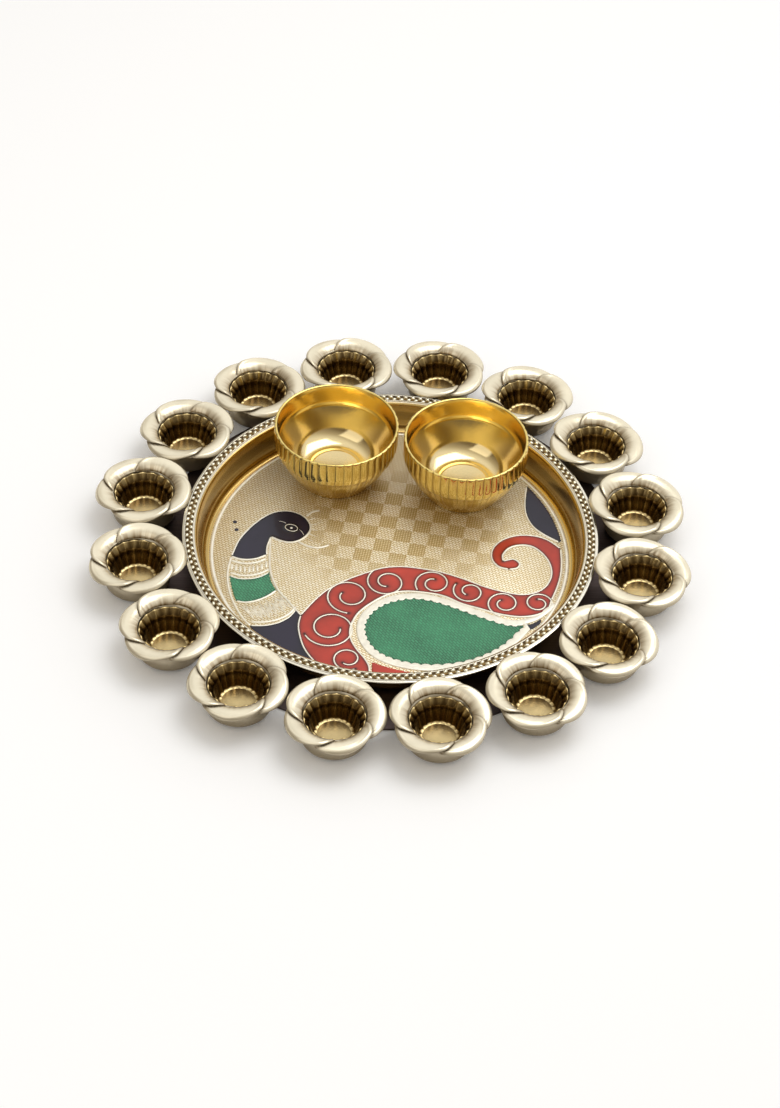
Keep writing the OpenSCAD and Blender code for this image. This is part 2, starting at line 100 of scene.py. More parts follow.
class CupSizes(bpy.types.PropertyGroup):
    """Sizes of the rose cups and their liners."""

    cup_d: length("Cup diameter", 41, "Diameter of a cup over its petals")
    cup_gap: length("Cup gap", 0.15, "Gap between neighbouring cups")
    cup_lap: length("Cup lap", 1.9, "How far the petals lap over the flange")
    petal_t: length("Petal thickness", 0.6, "Thickness of the petals")
    petal_w: length("Petal ring width", 7.8, "From the throat to the outermost points")
    mid_r: length("Petal edge middle", 6.5, "From the cup's middle to an outer edge's middle")
    side_r: length("Petal side radius", 10.8, "Radius of the edge that rides over")
    lip: length("Petal lip", 3.1, "From a petal's outermost point in to its crest")
    bend_r: length("Bend radius", 6, "Bend from the throat up to the crest")
    roll_r: length("Roll radius", 4.2, "Roll that turns the lip down")
    rise: length("Petal rise", 1.4, "Height of the crest over the flange")
    lean: degrees("Petal lean", 3.5, "Lean that lifts one side over the next petal")
    turn: degrees("Petal turn", 24.6, "Turn of the petals from straight outwards")
    tilt: degrees("Petal tilt", 2.5, "Outward tilt of the petals")
    foot_step: length("Foot step", 0.8, "How far the foot's wall stands out from the throat")
    foot_t: length("Foot thickness", 0.7, "Thickness of the foot")
    foot_edge_r: length("Foot edge radius", 2.6, "Round edge under the foot")
    liner_gap: length("Liner gap", 0.3, "Gap between a liner's rim and the throat")
    flare_w: length("Flare width", 2.1, "Width of a liner's flared part")
    flare_h: length("Flare height", 3.2, "Height of a liner's flared part")
    taper: length("Liner taper", 2.3, "How much a liner narrows below its flared part")
    liner_h: length("Liner height", 11.5, "Height of a liner")
    liner_t: length("Liner thickness", 0.7, "Thickness of a liner")
    deck_h: length("Liner deck height", 0.55, "Height of a liner's floor over its seat")
    flutes: IntProperty(name="Liner flutes", description="Flutes in a liner",
                        default=18, min=6, max=40)
    flute_depth: length("Flute depth", 0.35, "Depth of the liner's flutes")
    scallop: length("Scallop", 0.45, "Depth of the dips in a liner's rim")


class BowlSizes(bpy.types.PropertyGroup):
    """Sizes of the loose bowls."""

    bowl_d: length("Bowl diameter", 52.6, "Diameter of the upright band")
    bowl_h: length("Bowl height", 28, "Height of a bowl")
    band_h: length("Band height", 18, "Height at which the upright band starts")
    bend_r: length("Bend radius", 8, "Bend between band and belly")
    base_d: length("Base diameter", 32.4, "Diameter of the flat base")
    bowl_t: length("Wall thickness", 1.3, "Thickness of the wall")
    kick: length("Kick", 2.6, "Height of the hollow under the floor")
    groove_depth: length("Groove depth", 0.6, "Depth of the grooves between ribs")
    disc_r: length("Hollow radius", 12, "Radius of the hollow under a bowl")
    dish_r: length("Disc radius", 10.2, "Radius of the flat disc inside")
    ribs: IntProperty(name="Ribs", description="Ribs round a bowl", default=44, min=12, max=80)
    left_gap: length("Left gap", 1.6, "Between the left bowl and the tray's lip, from above")
    right_gap: length("Right gap", 3.2, "Between the right bowl and the tray's lip, from above")
    between: length("Gap between bowls", 2.5, "Gap between the two bowls")
    turn: degrees("Direction", 84.8, "Direction of the middle between the bowls from +X")


class ThaliColours(bpy.types.PropertyGroup):
    """Colours of the finishes."""

    petal: paint("Petals", (0.96, 0.87, 0.66), "Champagne gold of the petals")
    # brown used as painted shade in creases, grooves, deep walls, under the cups and between the
    # beads, and as painted reflection streaks on the petals
    stain: paint("Stain", (0.30, 0.18, 0.06), "Brown painted shade in creases, grooves and hollows")
    braid: paint("Braid", (0.93, 0.86, 0.66), "Gold of the braided border")
    wall: paint("Tray", (0.68, 0.47, 0.17), "Antique gold of the tray")
    ground: paint("Ground", (0.97, 0.91, 0.73), "Woven ground of the design")
    square: paint("Squares", (0.62, 0.42, 0.13), "Darker squares in the ground")
    wire: paint("Wires", (0.98, 0.93, 0.79), "Raised wires")
    red: paint("Red enamel", (0.50, 0.04, 0.018), "Red enamel")
    green: paint("Green enamel", (0.03, 0.17, 0.08), "Green enamel")
    navy: paint("Navy enamel", (0.012, 0.008, 0.024), "Navy enamel")
    bowl: paint("Bowls", (0.95, 0.73, 0.25), "Yellow brass of the bowls")
    pale: paint("Bowl floors", (0.85, 0.68, 0.36), "Paler brass inside the bowls")
    liner: paint("Liners", (0.76, 0.59, 0.29), "Brass of the liners' ridges and floors")
    plate: paint("Base plate", (0.12, 0.09, 0.085), "Steel of the base plate")


# ---------------------------------------------------------------- surfaces

def index_grid(rows, cols, wrap=False):
    """Vertex numbers of a rows by cols grid, its first column repeated if it closes."""
    grid = np.arange(rows * cols).reshape(rows, cols)
    return np.hstack([grid, grid[:, :1]]) if wrap else grid


def quads_of(grid):
    """The four corners of each cell of a grid of vertex numbers."""
    return np.stack([grid[:-1, :-1], grid[:-1, 1:], grid[1:, 1:], grid[1:, :-1]],
                    axis=-1).reshape(-1, 4)


def clean_faces(quads):
    """Quads with a doubled corner become triangles, and thinner ones go."""
    shifted = np.roll(quads, -1, axis=1)
    doubled = quads == shifted
    count = doubled.sum(axis=1)
    tris = []
    for k in range(4):
        rows = quads[(count == 1) & doubled[:, k]]
        tris.append(np.delete(rows, k, axis=1))
    return quads[count == 0], np.vstack(tris)


def outward(verts, quads, tris):
    """Turns a closed shell's faces round if its volume comes out negative."""
    def volume(a, b, c):
        return np.einsum("ij,ij->", verts[a], np.cross(verts[b], verts[c]))
    total = volume(quads[:, 0], quads[:, 1], quads[:, 2])
    total += volume(quads[:, 0], quads[:, 2], quads[:, 3])
    if len(tris):
        total += volume(tris[:, 0], tris[:, 1], tris[:, 2])
    if total < 0:
        return quads[:, ::-1], tris[:, ::-1]
    return quads, tris


def add_piece(name, shells, material, body, replaced=(), attributes=None):
    """Puts shells, each (vertices in mm, quads), into one mesh in metres and rides it."""
    verts, quads, tris, base = [], [], [], 0
    for points, cells in shells:
        q, t = clean_faces(cells)
        q, t = outward(points, q, t)
        verts.append(points)
        quads.append(q + base)
        tris.append(t + base)
        base += len(points)
    verts, quads, tris = np.vstack(verts), np.vstack(quads), np.vstack(tris)
    mesh = bpy.data.meshes.new(name)
    mesh.vertices.add(len(verts))
    mesh.vertices.foreach_set("co", (verts * MM).astype(np.float32).ravel())
    corners = np.concatenate([quads.ravel(), tris.ravel()]).astype(np.int32)
    starts = np.concatenate([np.arange(len(quads)) * 4,
                             len(quads) * 4 + np.arange(len(tris)) * 3]).astype(np.int32)
    mesh.loops.add(len(corners))
    mesh.loops.foreach_set("vertex_index", corners)
    mesh.polygons.add(len(starts))
    mesh.polygons.foreach_set("loop_start", starts)
    mesh.polygons.foreach_set("use_smooth", np.ones(len(starts), dtype=bool))
    mesh.update(calc_edges=True)
    for key, values in (attributes or {}).items():
        layer = mesh.attributes.new(key, "FLOAT", "POINT")
        layer.data.foreach_set("value", values.astype(np.float32).ravel())
    mesh.validate()
    mesh.materials.append(material)
    piece = bpy.data.objects.new(name, mesh)
    bpy.context.collection.objects.link(piece)
    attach(piece, body)
    if replaced:
        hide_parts(*replaced)
    return piece


def lathe(profile, segments, ripple=None):
    """A closed profile of (radius, height) turned round Z: x = r cos a, y = r sin a.
    ripple(r, z, a) gives an offset of the radius. Points on the axis become poles."""
    profile = np.asarray(profile, float)
    r = np.repeat(profile[:, :1], segments, axis=1)
    z = np.repeat(profile[:, 1:], segments, axis=1)
    a = np.repeat(round_angles(segments)[None, :], len(profile), axis=0)
    if ripple is not None:
        r = r + ripple(r, z, a)
    grid = index_grid(len(profile), segments, wrap=True)
    on_axis = profile[:, 0] < 1e-6
    grid[on_axis] = grid[on_axis][:, :1]
    points = np.stack([r * np.cos(a), r * np.sin(a), z], axis=-1).reshape(-1, 3)
    return points, quads_of(grid if on_axis[0] else np.vstack([grid, grid[:1]]))


def turned(points, angle, axis="Z", about=(0, 0, 0)):
    """Points turned by an angle about an axis through a point, by the right-hand rule."""
    c, s = math.cos(angle), math.sin(angle)
    m = {"X": [[1, 0, 0], [0, c, -s], [0, s, c]],
         "Y": [[c, 0, s], [0, 1, 0], [-s, 0, c]],
         "Z": [[c, -s, 0], [s, c, 0], [0, 0, 1]]}[axis]
    return (points - np.array(about)) @ np.array(m).T + np.array(about)


def moved(points, x, y, z=0.0):
    return points + np.array([x, y, z])


def round_angles(n):
    """The angles of n points round a circle."""
    return np.arange(n) * 2 * math.pi / n


def arc(mid, r, start, end, n):
    """Points on a circle from one angle to another, in degrees."""
    a = np.radians(np.linspace(start, end, n + 1))
    return np.stack([mid[0] + r * np.cos(a), mid[1] + r * np.sin(a)], axis=-1)


def curve(points, steps=8):
    """A Catmull-Rom curve through points, with steps pieces between each pair."""
    p = np.asarray(points, float)
    last = len(p) - 1
    i = np.repeat(np.arange(last), steps)
    t = np.tile(np.arange(steps) / steps, last)[:, None]
    a, b = p[np.maximum(i - 1, 0)], p[i]
    c, d = p[i + 1], p[np.minimum(i + 2, last)]
    inner = (2 * b + (c - a) * t + (2 * a - 5 * b + 4 * c - d) * t ** 2
             + (3 * b - a - 3 * c + d) * t ** 3) / 2
    return np.vstack([inner, p[-1]])


def side_of(path):
    """Unit vectors to the left of a plane path."""
    d = np.gradient(path, axis=0)
    d /= np.linalg.norm(d, axis=1)[:, None] + 1e-12
    return np.stack([-d[:, 1], d[:, 0]], axis=-1)


def run_length(path):
    step = np.linalg.norm(np.diff(path, axis=0), axis=1)
    return np.concatenate([[0], np.cumsum(step)])


def wire(path, width, height, z, ring=12, closed=False):
    """A rounded wire along a plane path in mm: at each point an ellipse of the given width
    and height, centred at z, whose size falls to nothing in a half round at both ends."""
    path = np.asarray(path, float)
    if closed:
        around = np.vstack([path[-1:], path, path[:1]])
        side = side_of(around)[1:-1]
        scale = np.ones(len(path))
    else:
        side = side_of(path)
        along = run_length(path)
        end = np.minimum(along, along[-1] - along)
        inset = np.clip(end / (width / 2), 0, 1)
        scale = np.sqrt(np.clip(1 - (1 - inset) ** 2, 1e-4, 1))
    a = round_angles(ring)
    across = np.cos(a)[None, :] * (width / 2) * scale[:, None]
    up = np.sin(a)[None, :] * height * scale[:, None]
    xy = path[:, None, :] + side[:, None, :] * across[..., None]
    points = np.concatenate([xy, (z + up)[..., None]], axis=-1).reshape(-1, 3)
    grid = index_grid(len(path), ring, wrap=True)
    if closed:
        grid = np.vstack([grid, grid[:1]])
    else:
        grid = np.vstack([np.full((1, ring + 1), grid[0, 0]), grid,
                          np.full((1, ring + 1), grid[-1, 0])])
    return points, quads_of(grid)


def nearest(points, targets, block=2000):
    """Distance from each point to the nearest target point."""
    out = np.empty(len(points))
    for k in range(0, len(points), block):
        gap = points[k:k + block, None, :] - targets[None, :, :]
        out[k:k + block] = np.sqrt((gap ** 2).sum(axis=-1).min(axis=1))
    return out


def inside(points, outline):
    """Which points lie in a closed outline, by counting the edges to their right."""
    x, y = points[:, :1], points[:, 1:]
    a, b = outline, np.roll(outline, -1, axis=0)
    crosses = (a[:, 1] > y) != (b[:, 1] > y)
    at = a[:, 0] + (y - a[:, 1]) * (b[:, 0] - a[:, 0]) / (b[:, 1] - a[:, 1] + 1e-12)
    return (crosses & (x < at)).sum(axis=1) % 2 == 1


# ---------------------------------------------------------------- the figure

# Outlines of the peacock in shares of the floor's radius
HEAD = [[-0.68, -0.05], [-0.678, 0.02], [-0.66, 0.095]]
CROWN = [[-0.66, 0.095], [-0.61, 0.068], [-0.555, 0.055], [-0.50, 0.075], [-0.455, 0.13],
         [-0.445, 0.19], [-0.475, 0.255], [-0.53, 0.295], [-0.60, 0.305], [-0.67, 0.28],
         [-0.74, 0.215], [-0.80, 0.13], [-0.84, 0.05], [-0.872, -0.07]]
NAPE = [[-0.872, -0.07], [-0.83, -0.088], [-0.78, -0.092], [-0.73, -0.08], [-0.68, -0.05]]
BIB_TOP = [[-0.875, -0.225], [-0.82, -0.244], [-0.76, -0.242], [-0.71, -0.225],
           [-0.66, -0.19]]
BIB_END = [[-0.66, -0.19], [-0.645, -0.26], [-0.615, -0.325]]
BIB_LOW = [[-0.615, -0.325], [-0.66, -0.37], [-0.72, -0.408], [-0.78, -0.424],
           [-0.83, -0.415]]
BIB_BACK = [[-0.83, -0.415], [-0.855, -0.33], [-0.875, -0.225]]
BREAST = [[-0.745, -0.60], [-0.67, -0.597], [-0.60, -0.575], [-0.54, -0.53],
          [-0.503, -0.47]]
TAIL_BACK = [[-0.475, -0.51], [-0.485, -0.58], [-0.478, -0.65], [-0.455, -0.74],
             [-0.42, -0.81], [-0.37, -0.88]]
THROAT = [[-0.662, 0.09], [-0.662, 0], [-0.66, -0.10], [-0.648, -0.20], [-0.605, -0.32],
          [-0.55, -0.40], [-0.503, -0.47], [-0.475, -0.51]]
BACK = [[-0.872, -0.07], [-0.885, -0.16], [-0.885, -0.25], [-0.865, -0.36],
        [-0.83, -0.46], [-0.79, -0.54], [-0.745, -0.60]]
TAIL_TOP = [[-0.475, -0.51], [-0.44, -0.45], [-0.38, -0.36], [-0.31, -0.285],
            [-0.22, -0.22], [-0.12, -0.165], [-0.03, -0.125], [0.07, -0.112],
            [0.17, -0.122], [0.28, -0.145], [0.40, -0.19], [0.52, -0.248], [0.63, -0.285],
            [0.72, -0.302], [0.80, -0.285], [0.86, -0.235], [0.893, -0.155],
            [0.892, -0.07], [0.86, 0.01], [0.80, 0.075], [0.73, 0.088], [0.665, 0.062],
            [0.628, 0.005], [0.63, -0.045]]
BULB = [[0.63, -0.045], [0.655, -0.035], [0.69, -0.028], [0.72, -0.06], [0.705, -0.095],
        [0.66, -0.107]]
CURL = [[0.66, -0.107], [0.60, -0.085], [0.566, -0.02], [0.578, 0.06], [0.63, 0.125],
        [0.71, 0.163], [0.80, 0.165], [0.88, 0.135], [0.952, 0.068]]
TAIL_EDGE = [[0.952, 0.068], [0.953, -0.04], [0.945, -0.14], [0.922, -0.24],
             [0.888, -0.34]]
TAIL_LOW = [[0.888, -0.34], [0.865, -0.41], [0.80, -0.455], [0.71, -0.472], [0.60, -0.455],
            [0.50, -0.42], [0.40, -0.385], [0.30, -0.33], [0.20, -0.308], [0.09, -0.302],
            [0, -0.328], [-0.09, -0.395], [-0.165, -0.48], [-0.203, -0.58],
            [-0.203, -0.67], [-0.17, -0.75], [-0.125, -0.82], [-0.1, -0.88], [-0.098, -0.95]]
RED_EDGE = [[-0.083, -0.845], [-0.02, -0.872], [0.07, -0.9], [0.17, -0.918]]
LEAF = [[0.735, -0.54], [0.64, -0.535], [0.52, -0.49], [0.40, -0.435], [0.28, -0.383],
        [0.16, -0.355], [0.05, -0.372], [-0.04, -0.418], [-0.105, -0.495],
        [-0.13, -0.585], [-0.115, -0.68], [-0.06, -0.765], [0.03, -0.82], [0.15, -0.85],
        [0.29, -0.85], [0.43, -0.815], [0.55, -0.75], [0.65, -0.66], [0.735, -0.54]]
# Beyond the leaf's tip its upper border runs on to the edge, over a small dark cell
LEAF_ARM = [[0.70, -0.515], [0.765, -0.495], [0.83, -0.45], [0.91, -0.36]]
TIP_CELL = [[0.748, -0.53], [0.785, -0.52], [0.82, -0.49], [0.825, -0.512], [0.79, -0.55],
            [0.755, -0.575], [0.748, -0.53]]
WING = [[0.775, 0.57], [0.762, 0.45], [0.765, 0.34], [0.80, 0.245], [0.86, 0.18],
        [0.945, 0.12]]
BEAK_TOP = [[-0.47, 0.27], [-0.44, 0.305], [-0.395, 0.322]]
BEAK_LOW = [[-0.51, 0.062], [-0.45, 0.028], [-0.39, 0.02], [-0.335, 0.045]]
EYE, EYE_R = (-0.55, 0.17), 0.032
DOTS, DOT_R = [(-0.867, 0.207), (-0.855, 0.145)], 0.012
# Scrolls: middle, inner and outer radius, start and turn in degrees
SCROLLS = [((-0.315, -0.60), 0.055, 0.145, 0, -520), ((-0.215, -0.35), 0.045, 0.135, 150, 480),
           ((-0.01, -0.235), 0.035, 0.115, 270, -500), ((0.245, -0.235), 0.03, 0.105, 75, 500),
           ((0.44, -0.29), 0.03, 0.092, 240, -460), ((0.63, -0.375), 0.03, 0.098, 120, 500),
           ((0.815, -0.365), 0.03, 0.078, 100, -460), ((-0.215, -0.825), 0.04, 0.085, 230, 430)]
EDGE_SHARE, ENAMEL_EDGE = 0.985, 0.965
COLLAR_DROP, BAND_GAP = 0.03, 0.028
COLLAR_BEADS, COLLAR_BEAD = 9, (0.008, 0.024)
BAND_TEETH = 6
EYE_TAIL = [[-0.622, 0.222], [-0.60, 0.217], [-0.578, 0.205]]
EYE_CORNER = [[-0.512, 0.168], [-0.49, 0.14], [-0.478, 0.112]]
# Fine rays over the beak: where each starts and ends
RAYS = [[[-0.462, 0.235], [-0.415, 0.262]], [[-0.45, 0.20], [-0.40, 0.212]],
        [[-0.449, 0.165], [-0.398, 0.16]], [[-0.455, 0.13], [-0.405, 0.108]],
        [[-0.47, 0.10], [-0.425, 0.068]]]
# Widths of the wires as shares of the named wire width, two of them with a share of height
WIRE_SPREAD, EDGE_SPREAD, EYE_SPREAD = 1.25, 1.8, 0.8
FINE_SPREAD, RAY_SPREAD = (0.62, 0.75), (0.4, 0.4)
# In mm: the width of the leaf's outer arm, and half a pupil's width
ARM_WIDTH, PUPIL_R = 3.0, 0.75


def lowered(points, drop):
    return [[x, y - drop] for x, y in points]


def spiral(mid, r_in, r_out, start, turn, n=110):
    """An Archimedean spiral: the radius grows evenly with the angle."""
    t = np.linspace(0, 1, n + 1)
    a = np.radians(start + turn * t)
    r = r_in + (r_out - r_in) * t
    return np.stack([mid[0] + r * np.cos(a), mid[1] + r * np.sin(a)], axis=-1)


def between(first, last, t):
    """Points at shares t of the way along each of two curves through points."""
    pair = []
    for run in (curve(first), curve(last)):
        share = np.linspace(0, 1, len(run))
        pair.append(np.stack([np.interp(t, share, run[:, k]) for k in (0, 1)], -1))
    return pair


def band_lines():
    """The zigzag between bib and breast, with a small triangle in each of its teeth."""
    t = np.linspace(0.05, 0.95, 2 * BAND_TEETH + 1)
    upper, lower = between(BIB_LOW[::-1], lowered(BREAST, -BAND_GAP), t)
    upper, lower = upper + (lower - upper) * 0.1, lower + (upper - lower) * 0.1
    zigzag = np.where(np.arange(len(t))[:, None] % 2, lower, upper)
    lines = [np.linspace(zigzag[k], zigzag[k + 1], 5) for k in range(len(t) - 1)]
    for k in range(1, len(t) - 1):
        corners = zigzag[k - 1:k + 2]
        small = corners.mean(axis=0) + (corners - corners.mean(axis=0)) * 0.42
        lines += [np.linspace(small[i], small[j], 5) for i, j in ((0, 2), (0, 1), (1, 2))]
    return lines


def dome(mid, reach, height, base, rings=6, around=12):
    """Half an ellipsoid over a flat base: x = a cos u cos v, y = b cos u sin v, z = c sin u."""
    u = np.linspace(0, math.pi / 2, rings)[:, None]
    v = round_angles(around)[None, :]
    x = mid[0] + reach[0] * np.cos(u) * np.cos(v)
    y = mid[1] + reach[1] * np.cos(u) * np.sin(v)
    z = base + height * np.sin(u) + 0 * v
    points = np.stack([x, y, z], -1).reshape(-1, 3)
    grid = index_grid(rings, around, wrap=True)
    grid[-1] = grid[-1, 0]
    under = np.array([[mid[0], mid[1], base]])
    foot = np.full((1, around + 1), len(points))
    return np.vstack([points, under]), quads_of(np.vstack([foot, grid]))


def figure_lines():
    """All raised lines, in shares. The last two, the eye and the edge, are closed."""
    runs = [HEAD, CROWN, NAPE, THROAT, BACK, lowered(NAPE, COLLAR_DROP), BIB_TOP,
            lowered(BIB_TOP, -BAND_GAP), BIB_LOW, BREAST, lowered(BREAST, -BAND_GAP),
            TAIL_BACK, TAIL_TOP, BULB, CURL, TAIL_EDGE, TAIL_LOW, WING, BEAK_TOP, BEAK_LOW]
    lines = [curve(run) for run in runs] + [spiral(*s) for s in SCROLLS]
    # an almond: a circle drawn out to a share of its height, and leaning to the beak
    eye = (arc((0, 0), EYE_R, 0, 360, 48)[:-1] * [1.12, 0.8]) @ [[0.93, -0.37], [0.37, 0.93]] + EYE
    edge = arc((0, 0), EDGE_SHARE, 0, 360, 360)[:-1]
    return lines + [eye, edge]


# ---------------------------------------------------------------- materials

def new_material(name, colour, metallic, roughness):
    """A Principled material, its nodes, its links and its shader."""
    material = bpy.data.materials.new(name)
    material.use_nodes = True
    tree = material.node_tree
    shader = tree.nodes["Principled BSDF"]
    shader.inputs["Base Color"].default_value = (*colour, 1)
    shader.inputs["Metallic"].default_value = metallic
    shader.inputs["Roughness"].default_value = roughness
    return material, tree, shader


def add_node(tree, kind, inputs=None, **settings):
    node = tree.nodes.new(kind)
    for key, value in settings.items():
        setattr(node, key, value)
    for key, value in (inputs or {}).items():
        if isinstance(value, bpy.types.NodeSocket):
            tree.links.new(value, node.inputs[key])
        else:
            node.inputs[key].default_value = value
    return node


def ramp_of(tree, value, stops):
    """The colour of a ramp with the given (position, colour) stops."""
    node = add_node(tree, "ShaderNodeValToRGB", {0: value})
    elements = node.color_ramp.elements
    while len(elements) < len(stops):
        elements.new(0.5)
    for element, (position, colour) in zip(elements, stops):
        element.position = position
        element.color = (*colour, 1)
    return node.outputs["Color"]


def shade(colour, factor):
    return tuple(min(1.0, c * factor) for c in colour)


def mix(tree, factor, first, second, way="MIX"):
    """Mixes two colours. The colour sockets are the node's inputs 6 and 7 and output 2."""
    return add_node(tree, "ShaderNodeMix", {0: factor, 6: first, 7: second},
                    data_type="RGBA", blend_type=way).outputs[2]


def mapped(tree, scale=(1, 1, 1), turn=0.0, place=(0, 0, 0)):
    """Object coordinates, scaled, turned about Z and moved."""
    coords = add_node(tree, "ShaderNodeTexCoord")
    return add_node(tree, "ShaderNodeMapping", {"Vector": coords.outputs["Object"],
                    "Scale": scale, "Rotation": (0, 0, turn), "Location": place}).outputs[0]


def distance(tree, vector):
    return add_node(tree, "ShaderNodeVectorMath", {0: vector},
                    operation="LENGTH").outputs["Value"]


def noise(tree, **inputs):
    """The value of a noise texture. Given W, it is a noise along a line."""
    along = "1D" if "W" in inputs else "3D"
    return add_node(tree, "ShaderNodeTexNoise", inputs, noise_dimensions=along).outputs["Fac"]


def attribute(tree, key):
    return add_node(tree, "ShaderNodeAttribute", attribute_name=key).outputs["Fac"]


def math_of(tree, way, first, second):
    return add_node(tree, "ShaderNodeMath", {0: first, 1: second}, operation=way).outputs[0]


def ranged(tree, value, **limits):
    """A value mapped from one range to another; the limits' names have _ for a space."""
    inputs = {key.replace("_", " "): limit for key, limit in limits.items()}
    return add_node(tree, "ShaderNodeMapRange", {"Value": value, **inputs}).outputs["Result"]


def coloured(tree, shader, colour):
    tree.links.new(colour, shader.inputs["Base Color"])


def bumped(tree, shader, height, strength, distance):
    node = add_node(tree, "ShaderNodeBump", {"Height": height, "Strength": strength,
                    "Distance": distance})
    tree.links.new(node.outputs["Normal"], shader.inputs["Normal"])


def metal(name, colour, roughness, dark=0.8, cloud=120, metallic=1.0):
    """Plated metal: cloudy tone, uneven polish and a very fine grain in the bump."""
    material, tree, shader = new_material(name, colour, metallic, roughness)
    place = mapped(tree)
    clouds = noise(tree, Vector=place, Scale=cloud, Detail=4.0, Roughness=0.6)
    tone = ramp_of(tree, clouds, [(0.35, shade(colour, dark)), (0.65, colour)])
    coloured(tree, shader, tone)
    polish = ranged(tree, clouds, To_Min=roughness - SCRATCH, To_Max=roughness + SCRATCH)
    tree.links.new(polish, shader.inputs["Roughness"])
    grain = noise(tree, Vector=place, Scale=GRAIN, Detail=2.0)
    bumped(tree, shader, grain, strength=0.02, distance=0.0005)
    return material


def metal_with_painted_shade(name, colour, stain, roughness, cloud=70, streak=0.0, reach=1.0, metallic=1.0):
    """Plated metal with brown painted shade, whose share is a mesh attribute, plus brown streaks
    of painted reflection and shade that run along a wall, whose noise follows the attribute around
    and whose share is depth."""
    material = metal(name, colour, roughness, dark=0.88, cloud=cloud, metallic=metallic)
    tree = material.node_tree
    shader = tree.nodes["Principled BSDF"]
    tone = shader.inputs["Base Color"].links[0].from_socket
    # brown streaks of painted reflection and shade, stronger where depth is greater
    if streak:
        turns = math_of(tree, "MULTIPLY", attribute(tree, "around"), streak)
        strong = ranged(tree, noise(tree, W=turns, Scale=1.0, Detail=3.0), From_Min=0.42,
                        From_Max=0.6, To_Min=reach * 0.35, To_Max=reach)
        share = math_of(tree, "MULTIPLY", strong, attribute(tree, "depth"))
        tone = mix(tree, share, tone, (*stain, 1))
    # brown painted shade, by the share that the mesh attribute gives
    tone = mix(tree, attribute(tree, "stain"), tone, (*shade(stain, 0.4), 1))
    coloured(tree, shader, tone)
    return material


def woven(tree, turn, width, gap, first, second, low):
    """Short dashes of two colours in rows like bricks, with a third colour low between."""
    return add_node(tree, "ShaderNodeTexBrick", {"Vector": mapped(tree, turn=turn),
                    "Scale": 1.0, "Brick Width": width, "Row Height": DASH_ROW,
                    "Mortar Size": gap, "Mortar Smooth": 0.5, "Color1": (*first, 1),
                    "Color2": (*second, 1), "Mortar": (*low, 1)}).outputs["Color"]


def ground_metal(name, colour, square):
    """Woven ground. In an ellipse behind the peacock's back, every other square is darker
    and dotted."""
    material, tree, shader = new_material(name, colour, 0.4, 0.42)
    dash = woven(tree, turn=0.55, width=0.0018, gap=0.00018, first=(1, 1, 1),
                 second=(0.92, 0.88, 0.78), low=shade(square, 0.85))
    dots = add_node(tree, "ShaderNodeTexVoronoi", {"Vector": mapped(tree, turn=SQUARE_TURN),
                    "Scale": 1 / DOT_PITCH, "Randomness": 0.12}, voronoi_dimensions="2D")
    dotted = ramp_of(tree, dots.outputs["Distance"], [(0.25, (0.95, 0.84, 0.6)),
                                                      (0.42, shade(square, 0.85))])
    squares = add_node(tree, "ShaderNodeTexChecker", {"Vector": mapped(tree, turn=SQUARE_TURN),
                       "Scale": 1 / SQUARE})
    off = distance(tree, mapped(tree, (27, 36, 0), place=(-0.12, -0.65, 0)))
    patch = noise(tree, Vector=mapped(tree), Scale=60.0, Detail=1.0)
    where = ranged(tree, math_of(tree, "ADD", off, patch), From_Min=2.05, From_Max=1.25,
                   To_Max=0.9)
    both = math_of(tree, "MULTIPLY", squares.outputs["Fac"], where)
    plain = mix(tree, 1.0, (*colour, 1), dash, "MULTIPLY")
    darker = mix(tree, 1.0, (*shade(colour, 0.85), 1), dotted, "MULTIPLY")
    coloured(tree, shader, mix(tree, both, plain, darker))
    bumped(tree, shader, dash, strength=0.35, distance=0.0002)
    return material


def enamel(name, colour, weave=0.0):
    """Glassy enamel: cloudy, darker near the wires, partly painted shade from the wires and partly
    the thin enamel at its edge, and with weave, the share of the dashes, over a woven ground."""
    material, tree, shader = new_material(name, colour, 0.0, 0.3)
    shader.inputs["Specular IOR Level"].default_value = 0.35
    shader.inputs["Coat Weight"].default_value = 0.35
    shader.inputs["Coat Roughness"].default_value = 0.06
    place = mapped(tree)
    tone = ramp_of(tree, noise(tree, Vector=place, Scale=60.0, Detail=3.0),
                   [(0.3, shade(colour, 0.72)), (0.7, shade(colour, 1.3))])
    # darker near the wires: partly painted shade from the wires, partly thin enamel at its edge
    base = mix(tree, attribute(tree, "edge"), tone, (*shade(colour, 0.12), 1))
    if weave:
        dash = woven(tree, turn=0.95, width=0.0022, gap=0.00026, first=(weave,) * 3,
                     second=(0.3,) * 3, low=(0, 0, 0))
        base = mix(tree, dash, base, (*shade(colour, 2.6), 1))
    coloured(tree, shader, base)
    bumped(tree, shader, noise(tree, Vector=place, Scale=260.0), strength=0.08,
           distance=0.0004)
    return material


def wall_metal(name, colour, rim, rim_from):
    """Antique gold: rings of brown lacquer that vary with the distance from the middle,
    and the pale colour rim from the distance rim_from outwards."""
    material, tree, shader = new_material(name, colour, 1.0, 0.2)
    place = add_node(tree, "ShaderNodeTexCoord").outputs["Object"]
    flat = add_node(tree, "ShaderNodeVectorMath", {0: place, 1: (1, 1, 0)},
                    operation="MULTIPLY")
    away = distance(tree, flat.outputs[0])
    rings = math_of(tree, "MULTIPLY", away, 900.0)
    shift = math_of(tree, "ADD", rings, noise(tree, Vector=place, Scale=16.0, Detail=2.0))
    lines = noise(tree, W=shift, Scale=1.0, Detail=4.0)
    tone = ramp_of(tree, lines, [(0.36, shade(colour, 0.5)), (0.58, colour)])
    outside = ranged(tree, away, From_Min=rim_from - 0.0006, From_Max=rim_from)
    coloured(tree, shader, mix(tree, outside, tone, (*rim, 1)))
    bumped(tree, shader, lines, strength=0.15, distance=0.0004)
    return material


